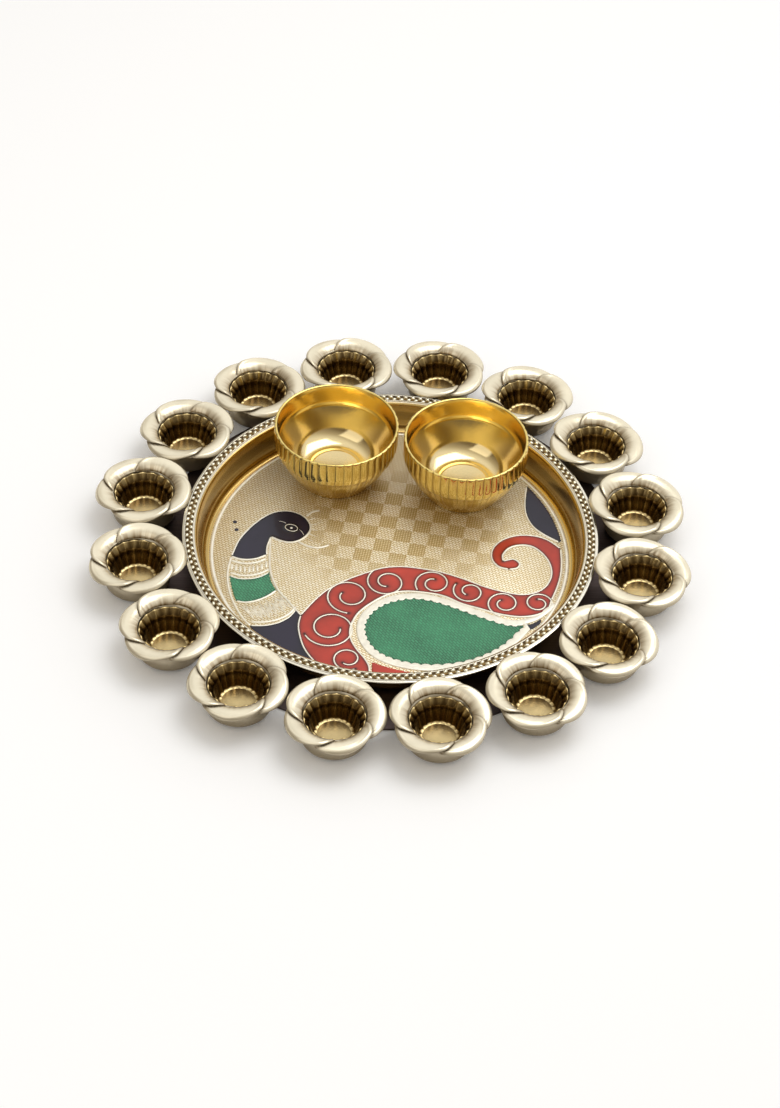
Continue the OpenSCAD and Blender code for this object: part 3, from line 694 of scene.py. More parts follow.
def brushed_steel(name, colour):
    """Dull rolled steel with fine lines along one way."""
    material, tree, shader = new_material(name, colour, 0.85, 0.42)
    lines = noise(tree, Vector=mapped(tree, (30, 2500, 30)), Scale=1.0, Detail=3.0)
    tone = ramp_of(tree, lines, [(0.3, shade(colour, 0.75)), (0.7, shade(colour, 1.2))])
    coloured(tree, shader, tone)
    bumped(tree, shader, lines, strength=0.06, distance=0.0003)
    return material


# ---------------------------------------------------------------- operators

def values(group):
    """A property group's lengths in mm, its angles and counts as they are."""
    out = {}
    for key in group.__annotations__:
        value = getattr(group, key)
        kind = group.bl_rna.properties[key]
        is_length = kind.type == "FLOAT" and kind.unit == "LENGTH"
        out[key] = value / MM if is_length else value
    return type("Values", (), out)


def cup_radii(c):
    """Radii of a cup's crest, throat and foot, and of its liner's rim, neck and foot."""
    throat = c.cup_d / 2 - c.petal_w
    rim = throat - c.liner_gap
    neck = rim - c.flare_w
    return c.cup_d / 2 - c.lip, throat, throat + c.foot_step, rim, neck, neck - c.taper


def cup_place(cup, tray):
    """Distance of the cups from the middle, and the direction of each."""
    touch = (cup.cup_d + cup.cup_gap) / 2 / math.sin(math.pi / CUPS)
    flange_r = tray.floor_r + tray.wall_run + tray.flange_w
    ring_r = max(touch, flange_r + cup.cup_d / 2 - cup.cup_lap)
    turns = -math.pi / 2 + (np.arange(CUPS) + 0.5) * 2 * math.pi / CUPS
    return ring_r, turns


class THALI_OT_tray(bpy.types.Operator):
    """Turns the tray's floor, cove, wall, rolled lip and flange"""

    bl_idname = "thali.tray"
    bl_label = "Tray"

    def execute(self, context):
        s = values(context.scene.thali_sizes)
        pan_z, t = s.plate_t, s.tray_t
        rise = s.tray_h - t
        bend = s.cove_r + s.lip_r
        straight = math.sqrt(s.wall_run ** 2 + (rise - bend) ** 2 - bend ** 2)
        lean = math.degrees(math.atan2(rise - bend, s.wall_run) + math.atan2(bend, straight))
        floor_mid, flange_mid = pan_z + t / 2, pan_z + s.tray_h - t / 2
        lip_r = s.floor_r + s.wall_run
        path = np.vstack([[[2, floor_mid], [s.floor_r - 2, floor_mid]],
                          arc((s.floor_r, floor_mid + s.cove_r), s.cove_r, -90, lean - 90, 14),
                          arc((lip_r, flange_mid - s.lip_r), s.lip_r, lean + 90, 90, 10),
                          [[lip_r + s.flange_w - 0.2, flange_mid],
                           [lip_r + s.flange_w, flange_mid]]])
        side = side_of(path)
        half = np.full(len(path), t / 2)[:, None]
        half[-1] = t / 6
        upper, lower = path + side * half, path - side * half
        profile = np.vstack([[[0, floor_mid + t / 2]], upper, lower[::-1],
                             [[0, floor_mid - t / 2]]])
        colours = context.scene.thali_colours
        material = wall_metal("antique_gold", colours.wall, colours.wire, lip_r * MM)
        add_piece("tray_dish", [lathe(profile, 360)], material, FIXED,
                  ["thali_pan"])
        return {"FINISHED"}


# Half a bead's length, width and height in mm, and its slant in degrees
BEAD_REACH, BEAD_SLANT = (1.2, 0.92, 0.9), 28
# In mm, the reach of the dark bed, a sheet of painted shade under the beads, beyond the beads'
# middles, its depth and its height, and the side wires' width, half height and distance from the
# beads' middles, inside and outside
BED_REACH, BED_LOW, BED_HIGH = 0.7, 0.05, 0.3
SIDE_WIRE, SIDE_IN, SIDE_OUT = (0.5, 0.45), 0.85, 0.9


class THALI_OT_braid(bpy.types.Operator):
    """Lays two rows of slanted beads on the flange, leaning towards each other"""

    bl_idname = "thali.braid"
    bl_label = "Braided border"

    def execute(self, context):
        s = values(context.scene.thali_sizes)
        flange_z = s.plate_t + s.tray_h
        first = s.floor_r + s.wall_run + s.border_inset + s.bead_d / 2
        u = np.linspace(0, math.pi, 6)[:, None]
        v = round_angles(8)[None, :]
        # one bead is an ellipsoid: x = a cos u, y = b sin u cos v, z = c sin u sin v
        a, b, c = BEAD_REACH
        bead = np.stack([a * np.cos(u) + 0 * v, b * np.sin(u) * np.cos(v),
                         c * np.sin(u) * np.sin(v)], axis=-1).reshape(-1, 3)
        grid = index_grid(6, 8, wrap=True)
        grid[0], grid[-1] = grid[0, 0], grid[-1, 0]
        cells = quads_of(grid)
        shells = []
        for row, slant in ((0, BEAD_SLANT), (1, -BEAD_SLANT)):
            r = first + row * s.bead_gap
            for k in range(s.beads):
                turn = 2 * math.pi * (k + row * 0.5) / s.beads
                one = turned(bead, math.pi / 2 + math.radians(slant))
                one = turned(moved(one, r, 0, flange_z), turn)
                shells.append((one, cells))
        colours = context.scene.thali_colours
        material = metal("braid_gold", colours.braid, 0.2, dark=0.7, cloud=400)
        add_piece("braid", shells, material, FIXED, ["rope_border"])
        # a dark bed under the beads: painted shade in the gaps between them
        last = first + s.bead_gap
        inner, outer = first - BED_REACH, last + BED_REACH
        low, high = flange_z - BED_LOW, flange_z + BED_HIGH
        core = lathe([[inner, low], [inner, high], [outer, high], [outer, low]], 240)
        dark = metal("braid_groove", shade(colours.stain, 0.6), 0.35, dark=0.5, cloud=500)
        add_piece("braid_bed", [core], dark, FIXED)
        turn = round_angles(300)
        round_path = np.stack([np.cos(turn), np.sin(turn)], axis=-1)
        sides = [wire(round_path * r, *SIDE_WIRE, flange_z, ring=8, closed=True)
                 for r in (first - SIDE_IN, last + SIDE_OUT)]
        pale = metal("braid_side_gold", colours.wire, 0.3, dark=0.85, cloud=300, metallic=0.6)
        add_piece("braid_sides", sides, pale, FIXED)
        return {"FINISHED"}


class THALI_OT_design(bpy.types.Operator):
    """Makes the woven ground and the raised wires of the peacock"""

    bl_idname = "thali.design"
    bl_label = "Peacock design"

    def execute(self, context):
        s = values(context.scene.thali_sizes)
        colours = context.scene.thali_colours
        low = s.plate_t + s.tray_t
        ground = low + s.sheet_t
        r = s.floor_r - s.fit_gap
        disc = lathe(np.array([[0, ground], [r * 0.4, ground], [r - 0.1, ground],
                               [r, ground - 0.1], [r, low], [0, low]]), 256)
        add_piece("woven_ground", [disc], ground_metal("woven_gold", colours.ground,
                  colours.square), FIXED, ["design_sheet"])

        def raised(path, wide, high=1.0, **more):
            """A wire along a line in shares, wide and high in shares of the wires' size."""
            return wire(path * s.floor_r, s.wire_w * wide, s.wire_h * high, ground, **more)

        *lines, eye, edge = figure_lines()
        shells = [raised(path, WIRE_SPREAD) for path in lines]
        shells += [raised(edge, EDGE_SPREAD, closed=True), raised(eye, EYE_SPREAD, closed=True)]
        shells += [raised(path, *FINE_SPREAD, ring=8)
                   for path in band_lines() + [curve(EYE_TAIL), curve(EYE_CORNER)]]
        shells += [raised(np.linspace(*ray, 6), *RAY_SPREAD, ring=6) for ray in RAYS]
        shells.append(wire(curve(LEAF_ARM) * s.floor_r, ARM_WIDTH, s.wire_h, ground))
        t = (np.arange(COLLAR_BEADS) + 0.5) / COLLAR_BEADS
        top, low_side = between(NAPE, BIB_TOP, t)
        for mid in (top + low_side) / 2 * s.floor_r:
            shells.append(dome(mid, np.array(COLLAR_BEAD) * s.floor_r, s.wire_h, ground))
        shells.append(dome(np.array(EYE) * s.floor_r, (PUPIL_R,) * 2, s.wire_h, ground))
        material = metal("wire_gold", colours.wire, 0.36, dark=0.88, cloud=300, metallic=0.55)
        add_piece("figure_wires", shells, material, FIXED)
        dots = [dome(np.array(mid) * s.floor_r, (DOT_R * s.floor_r,) * 2, s.wire_h, ground)
                for mid in DOTS]
        add_piece("neck_dots", dots, enamel("dot_glass", colours.navy), FIXED)
        return {"FINISHED"}


# The leaf's border in mm: its outer edge, its lobes' least and added reach, how far back the
# inner edge runs at the tip, the tip's length, and the spacing of the rings in a lobe
LEAF_OUT, LOBE_LOW, LOBE_ADD, TIP_BACK, TIP_RUN, RING_STEP = -3.3, 0.1, 0.85, -0.6, 3.0, 1.05


class THALI_OT_leaf_border(bpy.types.Operator):
    """Makes the leaf's raised border, whose inner edge has round lobes"""

    bl_idname = "thali.leaf_border"
    bl_label = "Leaf border"

    def execute(self, context):
        s = values(context.scene.thali_sizes)
        ground = s.plate_t + s.tray_t + s.sheet_t
        fine = 6
        base = curve(LEAF, 5) * s.floor_r
        t = np.linspace(0, len(base) - 1, (len(base) - 1) * fine + 1)[:-1]
        i = t.astype(int)
        f = (t - i)[:, None]
        side = side_of(base)
        path = base[i] * (1 - f) + base[i + 1] * f
        normal = side[i] * (1 - f) + side[i + 1] * f
        wave = np.abs(np.sin(math.pi * t[:, None] / 2))
        tip = np.minimum(np.linalg.norm(path - base[0], axis=1) / TIP_RUN, 1)[:, None]
        lobes = (LOBE_LOW + LOBE_ADD * wave) * tip + TIP_BACK * (1 - tip)
        v = np.linspace(0, 1, 15)
        across = LEAF_OUT + (lobes - LEAF_OUT) * v[None, :]
        xy = path[:, None, :] + normal[:, None, :] * across[..., None]
        # a top whose two edges are rounded, h = (1 - |2v - 1|^6)^(1/2), and in each lobe
        # two shallow rings, which follow the lobe's wave
        h = np.sqrt(np.clip(1 - np.abs(2 * v - 1) ** 6, 0, 1))[None, :]
        rings = 0.5 + 0.5 * np.cos(2 * math.pi * (across - lobes) / RING_STEP)
        h = h * (1 - 0.12 * rings * wave * (v > 0.2)) * s.wire_h
        top = np.concatenate([xy, (ground + h)[..., None]], -1)
        low = top.copy()
        low[..., 2] = ground - 0.1
        points = np.concatenate([top, low[:, ::-1]], axis=1)
        grid = index_grid(*points.shape[:2], wrap=True)
        grid = np.vstack([grid, grid[:1]])
        material = bpy.data.materials["wire_gold"]
        add_piece("leaf_border", [(points.reshape(-1, 3), quads_of(grid))], material, FIXED)
        return {"FINISHED"}


# How high the enamel climbs at a wire, and how far the climb and its darker edge reach, in mm; the
# darker edge is partly painted shade from the wires, partly thin enamel
CLIMB, CLIMB_REACH, THIN_EDGE_AND_SHADE_REACH = 0.1, 0.35, 0.55


class THALI_OT_enamel(bpy.types.Operator):
    """Floods the red, green and navy cells between the wires"""

    bl_idname = "thali.enamel"
    bl_label = "Enamel"

    def cell(self, s, outline, wires, step=0.4):
        """A height field over the grid cells whose middle lies in the outline. Its height
        is the enamel's, plus a climb that dies away with the distance from the wires."""
        outline = np.asarray(outline) * s.floor_r
        lo, hi = outline.min(axis=0) - step, outline.max(axis=0) + step
        nx, ny = (np.ceil((hi - lo) / step)).astype(int) + 1
        xs, ys = lo[0] + step * np.arange(nx), lo[1] + step * np.arange(ny)
        mx, my = np.meshgrid(xs[:-1] + step / 2, ys[:-1] + step / 2, indexing="ij")
        kept = inside(np.stack([mx.ravel(), my.ravel()], -1), outline)
        gx, gy = np.meshgrid(xs, ys, indexing="ij")
        flat = np.stack([gx.ravel(), gy.ravel()], -1)
        quads = quads_of(index_grid(nx, ny).T)
        order = np.arange((nx - 1) * (ny - 1)).reshape(nx - 1, ny - 1).T.ravel()
        quads = quads[kept[order]]
        used, quads = np.unique(quads, return_inverse=True)
        quads = quads.reshape(-1, 4)
        flat = flat[used]
        away = np.maximum(nearest(flat, wires) - s.wire_w / 2, 0)
        ground = s.plate_t + s.tray_t + s.sheet_t
        z = ground + s.enamel_t + CLIMB * np.exp(-away / CLIMB_REACH)
        # the last value darkens the enamel near the wires: partly painted shade, partly thin
        # enamel
        return np.concatenate([flat, z[:, None]], -1), quads, np.exp(-away / THIN_EDGE_AND_SHADE_REACH)

    def execute(self, context):
        s = values(context.scene.thali_sizes)
        colours = context.scene.thali_colours
        wires = np.vstack(figure_lines() + [curve(LEAF, 5)]) * s.floor_r

        def edge_run(start, end, n=12):
            return arc((0, 0), ENAMEL_EDGE, start, end, n)

        cells = {
            "red": [np.vstack([curve(TAIL_TOP), curve(BULB), curve(CURL), curve(TAIL_EDGE),
                               curve(TAIL_LOW), edge_run(-97, -111),
                               curve(TAIL_BACK)[::-1]]),
                    np.vstack([curve(RED_EDGE), edge_run(-80, -95)])],
            "green": [curve(LEAF),
                      np.vstack([curve(BIB_TOP), curve(BIB_END), curve(BIB_LOW),
                                 curve(BIB_BACK)])],
            "navy": [np.vstack([curve(HEAD), curve(CROWN), curve(NAPE)]),
                     np.vstack([curve(BREAST), curve(TAIL_BACK), edge_run(-113, -140)]),
                     np.vstack([curve(WING), edge_run(8, 36)]), curve(TIP_CELL)],
        }
        materials = {"red": enamel("enamel_red_glass", colours.red),
                     "green": enamel("enamel_green_glass", colours.green, weave=0.6),
                     "navy": enamel("enamel_navy_glass", colours.navy)}
        for colour, outlines in cells.items():
            shells, thin_edge_and_shade = [], []
            for outline in outlines:
                points, quads, edge = self.cell(s, outline, wires)
                shells.append((points, quads))
                thin_edge_and_shade.append(edge)
            piece = add_piece("enamel_" + colour + "_fill", shells, materials[colour], FIXED,
                              ["enamel_" + colour],
                              {"edge": np.concatenate(thin_edge_and_shade)})
            thick = piece.modifiers.new("depth", "SOLIDIFY")
            thick.thickness = s.enamel_t * MM * 0.9
            thick.offset = -1
        return {"FINISHED"}


# A petal's grid of points, and the share of its sector that it runs on under the next one
PETAL_ROWS, PETAL_COLS, TUCK_SHARE = 57, 33, 0.78
# Middle of the side's circle, in shares of its radius: back from the crest, and sideways
SIDE_BACK, SIDE_ACROSS = 0.62, 0.15
# Powers that draw the grid's rows and columns together at the free edges
ROW_POWER, COL_POWER = 1.5, 1.7
# Along the free edge, in mm: a swell (height, distance, spread) and a turn-down (depth, reach)
EDGE_SWELL, EDGE_DROP = (0.16, 1.1, 0.5), (0.3, 0.9)
# How far, in mm, the brown painted shade reaches from a crease and from the rim, its share on the
# foot as painted shade under the cup (at the top, and added towards the underside) and a shift of
# the painted reflection streaks by petal
CREASE_REACH, RIM_REACH, FOOT_SHADE, STREAK_SHIFT = 0.62, 0.3, (0.42, 0.25), 17.3


class THALI_OT_cups(bpy.types.Operator):
    """Makes each rose cup: five swirling petals and a round foot"""

    bl_idname = "thali.cups"
    bl_label = "Rose cups"

    def petal(self, c, tray):
        """One petal as a thin pillow. From above it runs from the throat's circle out to
        the lesser of two circles' edges. Its middle surface climbs a round bend from the
        throat to the crest and rolls down to the lip, and leans sideways. Half its
        thickness is t/2 inside and falls in a quarter round to nothing at every edge."""
        crest_z = tray.plate_t + tray.tray_h + c.rise
        crest_r, throat_r = cup_radii(c)[:2]
        edge_r = c.cup_d / 2 - c.mid_r - c.cup_gap / 2
        edge_mid = np.array([c.mid_r, 0])
        side_mid = np.array([crest_r - SIDE_BACK * c.side_r, SIDE_ACROSS * c.side_r])

        def hit(a, mid, r):
            """Where a ray from the middle at angle a leaves a circle."""
            along = mid[0] * np.cos(a) + mid[1] * np.sin(a)
            return along + np.sqrt(np.maximum(r ** 2 - (mid @ mid) + along ** 2, 0))

        tuck = -math.radians(360 / PETALS * TUCK_SHARE)
        # the free side ends where its circle meets the throat's
        off = math.hypot(*side_mid)
        last = math.atan2(side_mid[1], side_mid[0]) + math.acos(
            (off ** 2 + throat_r ** 2 - c.side_r ** 2) / (2 * off * throat_r))
        share = np.linspace(0, 1, PETAL_ROWS)
        a = tuck + (last - tuck) * (1 - (1 - share) ** ROW_POWER)
        outer = hit(a, edge_mid, edge_r)
        free = np.minimum(outer, hit(a, side_mid, c.side_r))
        far = np.maximum(np.where(a > 0, free, outer), throat_r + 0.05)
        s = 1 - (1 - np.linspace(0, 1, PETAL_COLS)) ** COL_POWER
        rho = throat_r + (far[:, None] - throat_r) * s[None, :]
        x, y = rho * np.cos(a)[:, None], rho * np.sin(a)[:, None]

        half = c.petal_t / 2
        bend, roll = c.bend_r - half, c.roll_r - half
        away = crest_r - rho
        climb = np.sqrt(np.maximum(bend ** 2 - np.clip(away, 0, None) ** 2, 0)) - bend
        drop = np.sqrt(np.maximum(roll ** 2 - np.clip(-away, 0, None) ** 2, 0)) - roll
        z = crest_z - half + climb + drop + y * math.tan(c.lean)

        edge = np.stack([x[:, -1], y[:, -1]], -1)
        flat = np.stack([x, y], -1).reshape(-1, 2)
        rim = nearest(flat, curve(edge, 4)).reshape(x.shape)
        # distance to the nearest edge: the free one, the throat or the tucked end, whose
        # line only counts for the rows within 1.2 radians of it
        from_tuck = (a - tuck)[:, None]
        end = np.where(from_tuck < 1.2, np.abs(np.sin(from_tuck)) * rho, np.inf)
        gap = np.minimum(np.minimum(rim, rho - throat_r), end)
        gap[:, [0, -1]] = gap[[0, -1]] = 0
        w = np.clip(gap / (half * 1.2), 0, 1)
        thick = half * np.sqrt(np.clip(1 - (1 - w) ** 2, 0, 1))
        # the free edge swells a little, then turns down
        swell, swell_at, spread = EDGE_SWELL
        depth, reach = EDGE_DROP
        z += swell * np.exp(-((rim - swell_at) / spread) ** 2)
        z -= depth * np.clip(1 - rim / reach, 0, 1) ** 2

        mid = np.stack([x, y, z], -1)
        normal = np.cross(np.gradient(mid, axis=0), np.gradient(mid, axis=1))
        normal /= np.linalg.norm(normal, axis=-1)[..., None] + 1e-12
        normal *= np.sign(normal[..., 2:]) + 1e-9
        top = mid + normal * thick[..., None]
        low = mid - normal * thick[..., None]
        rows, cols = x.shape
        upper = index_grid(rows, cols)
        lower = upper + rows * cols
        lower[0], lower[-1], lower[:, 0], lower[:, -1] = (upper[0], upper[-1], upper[:, 0],
                                                          upper[:, -1])
        cells = np.vstack([quads_of(upper), quads_of(lower)[:, ::-1]])
        points = np.concatenate([top.reshape(-1, 3), low.reshape(-1, 3)])

        # brown painted shade sits beside the free edge of the petal that laps over this one,
        # and at the outer rim: exp(-distance / reach); depth grows from crest to throat and sets
        # the share of the painted reflection streaks
        over = turned(np.stack([edge[a > 0, 0], edge[a > 0, 1], 0 * edge[a > 0, 0]], -1),
                      -2 * math.pi / PETALS)[:, :2]
        crease = np.exp(-(nearest(flat, curve(over, 3)) / CREASE_REACH) ** 1.5)
        stain = np.maximum(0.95 * crease.reshape(x.shape), 0.8 * np.exp(-rim / RIM_REACH))
        depth = np.clip((crest_r - rho) / (crest_r - throat_r), 0, 1) ** 1.7
        marks = {"stain": stain, "depth": depth, "around": a[:, None] + 0 * x}
        marks = {key: np.tile(mark.ravel(), 2) for key, mark in marks.items()}
        return points, cells, crest_z, marks

    def execute(self, context):
        tray = values(context.scene.thali_sizes)
        c = values(context.scene.cup_sizes)
        ring_r, turns = cup_place(c, tray)
        points, cells, crest_z, marks = self.petal(c, tray)
        petals = []
        for k in range(PETALS):
            one = turned(points, c.turn + 2 * math.pi / PETALS * k)
            petals.append((turned(one, c.tilt, "Y", (0, 0, crest_z)), cells))
        crest_r, _, foot_r = cup_radii(c)[:3]
        bend_z = crest_z - c.bend_r
        under = bend_z + math.sqrt((c.bend_r - c.petal_t) ** 2 - (crest_r - foot_r) ** 2)
        path = np.vstack([[[1.6, tray.plate_t + c.foot_t / 2]],
                          arc((foot_r - c.foot_edge_r, tray.plate_t + c.foot_edge_r),
                              c.foot_edge_r - c.foot_t / 2, -90, 0, 10),
                          [[foot_r - c.foot_t / 2, under]]])
        side = side_of(path) * c.foot_t / 2
        foot = lathe(np.vstack([path + side, (path - side)[::-1]]), 72)
        # painted shade on the foot, darker towards its underside
        low = np.clip((under - foot[0][:, 2]) / under, 0, 1)
        foot_shade = FOOT_SHADE[0] + FOOT_SHADE[1] * low
        colours = context.scene.thali_colours
        material = metal_with_painted_shade("petal_gold", colours.petal, colours.stain, 0.24, streak=7.0,
                           reach=0.85, metallic=0.6)
        for k, turn in enumerate(turns):
            name = "%02d" % (k + 1)
            shells = [(turned(moved(p, ring_r, 0), turn), f) for p, f in petals + [foot]]
            around = [marks["around"] + STREAK_SHIFT * (k * PETALS + n)
                      for n in range(PETALS)]
            add_piece("rose_cup_" + name, shells, material, FIXED,
                      ["flower_cup_" + name],
                      {"stain": np.concatenate([marks["stain"]] * PETALS + [foot_shade]),
                       "depth": np.concatenate([marks["depth"]] * PETALS + [0 * low]),
                       "around": np.concatenate(around + [0 * low])})
        return {"FINISHED"}


# Points round one flute of a liner, and the share of painted shade from its floor's middle
# outwards
FLUTE_POINTS, FLOOR_SHADE = 12, (0.1, 0.22, 0.5)
# The softness in mm of the bend between a liner's taper and its flare
SOFT_BEND = 0.4


class THALI_OT_liners(bpy.types.Operator):
    """Makes the fluted liner in each cup"""

    bl_idname = "thali.liners"
    bl_label = "Cup liners"

    def execute(self, context):
        tray = values(context.scene.thali_sizes)
        c = values(context.scene.cup_sizes)
        ring_r, turns = cup_place(c, tray)
        seat = tray.plate_t + c.foot_t
        rim_r, neck_r, foot_r = cup_radii(c)[3:]
        inner = foot_r - c.liner_t
        neck_h = c.liner_h - c.flare_h
        slope, flare = (neck_r - foot_r) / neck_h, c.flare_w / c.flare_h
        deck = c.deck_h + c.liner_t

        def wall_r(up):
            """Outer radius at a height: a taper, then the flare, with a soft bend between."""
            bent = np.logaddexp(0, (up - neck_h) / SOFT_BEND) * SOFT_BEND
            return foot_r + slope * up + (flare - slope) * bent

        up = np.concatenate([np.linspace(deck, neck_h - 1, 9), np.linspace(neck_h - 0.6,
                             c.liner_h - 0.15, 14)])
        wall_in = np.stack([wall_r(up) - c.liner_t, up], -1)
        wall_out = np.stack([wall_r(up), up], -1)
        wall_out[:, 0] = np.minimum(wall_out[:, 0], rim_r)
        floor = [[0, deck], [inner * 0.6, deck], [inner * 0.9, deck]]
        profile = np.vstack([floor, wall_in, [[wall_out[-1, 0] - c.liner_t / 2, c.liner_h]],
                             wall_out[::-1], [[foot_r, 0], [inner, 0],
                                              [inner, c.deck_h], [0, c.deck_h]]])
        first, last = len(floor), len(floor) + len(up)
        profile[:, 1] += seat
        segments = c.flutes * FLUTE_POINTS
        row = np.arange(len(profile))[:, None]
        turn = round_angles(segments)[None, :]
        flute = np.abs(np.cos(c.flutes * turn / 2))
        wall = (row >= first) & (row <= last)

        def ripple(r, z, a):
            """Rounded flutes in the inner wall: their depth follows |cos(n a / 2)|^0.8."""
            return np.where(wall, c.flute_depth * flute ** 0.8, 0)

        points, cells = lathe(profile, segments, ripple)
        # the rim dips in each flute, the more the nearer to the top
        rise = np.clip((profile[:, 1] - seat - neck_h) / c.flare_h, 0, 1)[:, None]
        points[:, 2] -= (c.scallop * rise * flute ** 2).ravel()

        # painted light and shade: ridges, floor and rim stay bright, with a painted highlight
        # where the wall meets the floor; the flutes and the deep wall get brown painted shade
        share = np.clip((profile[:, 1] - seat - deck) / (neck_h - deck), 0, 1)[:, None]
        own = 0.5 + 0.5 * np.sin(5 * turn) * np.cos(3 * turn + 1)
        ridge = (1 - flute) ** 1.5
        deep = 0.99 - 0.5 * ridge * np.clip(own, 0, 1)
        dark = deep + (0.05 + 0.75 * flute ** 2 - deep) * np.clip(rise * 1.6 - 0.3, 0, 1)
        rest = np.zeros(row.shape)
        rest[:first, 0] = FLOOR_SHADE
        dark = np.where(wall, dark * np.clip(share * 14, 0.1, 1), rest) + 0 * turn
        colours = context.scene.thali_colours
        material = metal_with_painted_shade("liner_brass", colours.liner, colours.stain, 0.2, cloud=220)
        for k, angle in enumerate(turns):
            name = "%02d" % (k + 1)
            shell = (turned(moved(points, ring_r, 0), angle), cells)
            add_piece("fluted_liner_" + name, [shell], material, FIXED,
                      ["cup_liner_" + name], {"stain": dark})
        return {"FINISHED"}


# Points round one rib of a bowl, and the round of its lip in mm
RIB_POINTS, BOWL_LIP = 14, 0.5
# Where the grooves deepen, in mm under the band: start and length
GROOVE_START, GROOVE_RUN = 3.4, 1.6
# In mm, how far the belly swells, and the ribs' ends: height, drop under the band, spread
BELLY_SWELL, RIB_END = 0.7, (0.2, 2, 0.9)


class THALI_OT_bowls(bpy.types.Operator):
    """Makes the two ribbed bowls"""

    bl_idname = "thali.bowls"
    bl_label = "Loose bowls"

    def execute(self, context):
        tray = values(context.scene.thali_sizes)
        b = values(context.scene.bowl_sizes)
        ground = tray.plate_t + tray.tray_t + tray.sheet_t
        lean = math.atan((b.bowl_d - b.base_d) / 2 / b.band_h)
        mid = (b.bowl_d / 2 - b.bend_r, b.band_h + b.bend_r * math.tan(lean / 2))
        disc_z = b.kick + b.bowl_t
        lip = BOWL_LIP
        tilt = math.degrees(lean)

        out = arc(mid, b.bend_r, -tilt, 0, 14)
        belly = np.linspace([b.base_d / 2, 0], out[0], 22)[:-1]
        band = np.linspace(out[-1], [b.bowl_d / 2, b.bowl_h - lip], 8)[1:]
        out = np.vstack([belly, out, band])
        bend = arc(mid, b.bend_r - b.bowl_t, 0, -tilt, 10)
        down = [[b.bowl_d / 2 - b.bowl_t, h] for h in (b.bowl_h - lip, b.bowl_h - 4)]
        # a straight wall, then a round hollow: a quadratic Bezier curve to the disc
        corner = np.array([bend[-1, 0] - (bend[-1, 1] - disc_z) * math.tan(lean), disc_z])
        foot = corner + (bend[-1] - corner) * 0.42
        disc_edge = np.array([b.dish_r + 0.6, disc_z])
        t = np.linspace(0, 1, 14)[:, None]
        hollow = foot * (1 - t) ** 2 + 2 * corner * t * (1 - t) + disc_edge * t ** 2
        inn = np.vstack([down, bend, (bend[-1] + foot) / 2, hollow])
        middle = (out[-1] + inn[0]) / 2
        over = np.radians(np.linspace(0, 180, 9))[1:-1, None]
        rim = middle + (out[-1] - middle) * np.cos(over) + [0, lip] * np.sin(over)
        under = [[0, b.kick], [b.disc_r, b.kick], [b.disc_r + 0.3, 0.3], [b.disc_r + 0.8, 0]]
        disc = [[b.dish_r, disc_z + 0.25], [b.dish_r - 0.6, disc_z + 0.05], [0, disc_z]]
        profile = np.vstack([under, out, rim, inn, disc])
        # the outside ends a little before the top of the rim, the inside starts beyond it
        row = np.arange(len(profile))[:, None]
        rim_row = len(under) + len(out)
        outside = (row >= len(under)) & (row < rim_row + 3)

        def groove(z, a):
            """Depth share of the grooves between half-round ribs, 1 - sqrt(1 - t t): whole
            on the band, half on the belly, and fading out at the base."""
            t = np.mod(b.ribs * a / (2 * math.pi), 1) * 2 - 1
            rise = np.clip((z - b.band_h + GROOVE_START) / GROOVE_RUN, 0, 1)
            depth = 0.5 + 0.5 * rise * rise * (3 - 2 * rise)
            return (1 - np.sqrt(np.clip(1 - t ** 2, 0, 1))) * depth * np.clip(z / 3, 0, 1)

        def ripple(r, z, a):
            fade = np.clip((b.bowl_h - z) / 0.6, 0.35, 1)
            # the belly is a little round, and each rib swells where it ends
            swell = BELLY_SWELL * np.sin(math.pi * np.clip(z / b.band_h, 0, 1)) ** 2
            high, drop, spread = RIB_END
            swell += high * np.exp(-((z - b.band_h + drop) / spread) ** 2)
            return np.where(outside, swell - 0.95 * b.groove_depth * groove(z, a) * fade, 0)

        segments = b.ribs * RIB_POINTS
        points, cells = lathe(profile, segments, ripple)
        turn = round_angles(segments)[None, :]
        # brown painted shade in the grooves between the ribs
        stain = np.where(outside, 0.6 * groove(profile[:, 1:], turn) ** 2.5, 0)
        inside_z = np.where(row >= rim_row + 5, profile[:, 1:], b.bowl_h)
        pale = np.clip((b.band_h - inside_z) / 2, 0, 1) + 0 * turn
        colours = context.scene.thali_colours
        material = metal_with_painted_shade("bowl_brass", colours.bowl, colours.stain, 0.13, cloud=60)
        tree = material.node_tree
        shader = tree.nodes["Principled BSDF"]
        tone = shader.inputs["Base Color"].links[0].from_socket
        coloured(tree, shader, mix(tree, attribute(tree, "pale"), tone, (*colours.pale, 1)))

        lip_r = tray.floor_r + tray.wall_run
        left_r = lip_r - b.left_gap - b.bowl_d / 2
        right_r = lip_r - b.right_gap - b.bowl_d / 2
        apart = b.bowl_d + b.between
        spread = math.acos((left_r ** 2 + right_r ** 2 - apart ** 2) / (2 * left_r * right_r))
        for side, r, way in (("left", left_r, b.turn + spread / 2),
                             ("right", right_r, b.turn - spread / 2)):
            placed = moved(points, r * math.cos(way), r * math.sin(way), ground)
            add_piece("ribbed_bowl_" + side, [(placed, cells)], material, side + "_bowl",
                      ["bowl_" + side], {"stain": stain, "pale": pale})
        return {"FINISHED"}


class THALI_OT_base(bpy.types.Operator):
    """Gives the base plate and the rivets their steel"""

    bl_idname = "thali.base"
    bl_label = "Base plate"

    def execute(self, context):
        steel = brushed_steel("plate_steel", context.scene.thali_colours.plate)
        plain = brushed_steel("rivet_steel", (0.5, 0.5, 0.5))
        for node, material in (("base_plate", steel), ("cup_rivets", plain)):
            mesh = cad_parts[node].data
            mesh.materials.clear()
            mesh.materials.append(material)
        return {"FINISHED"}


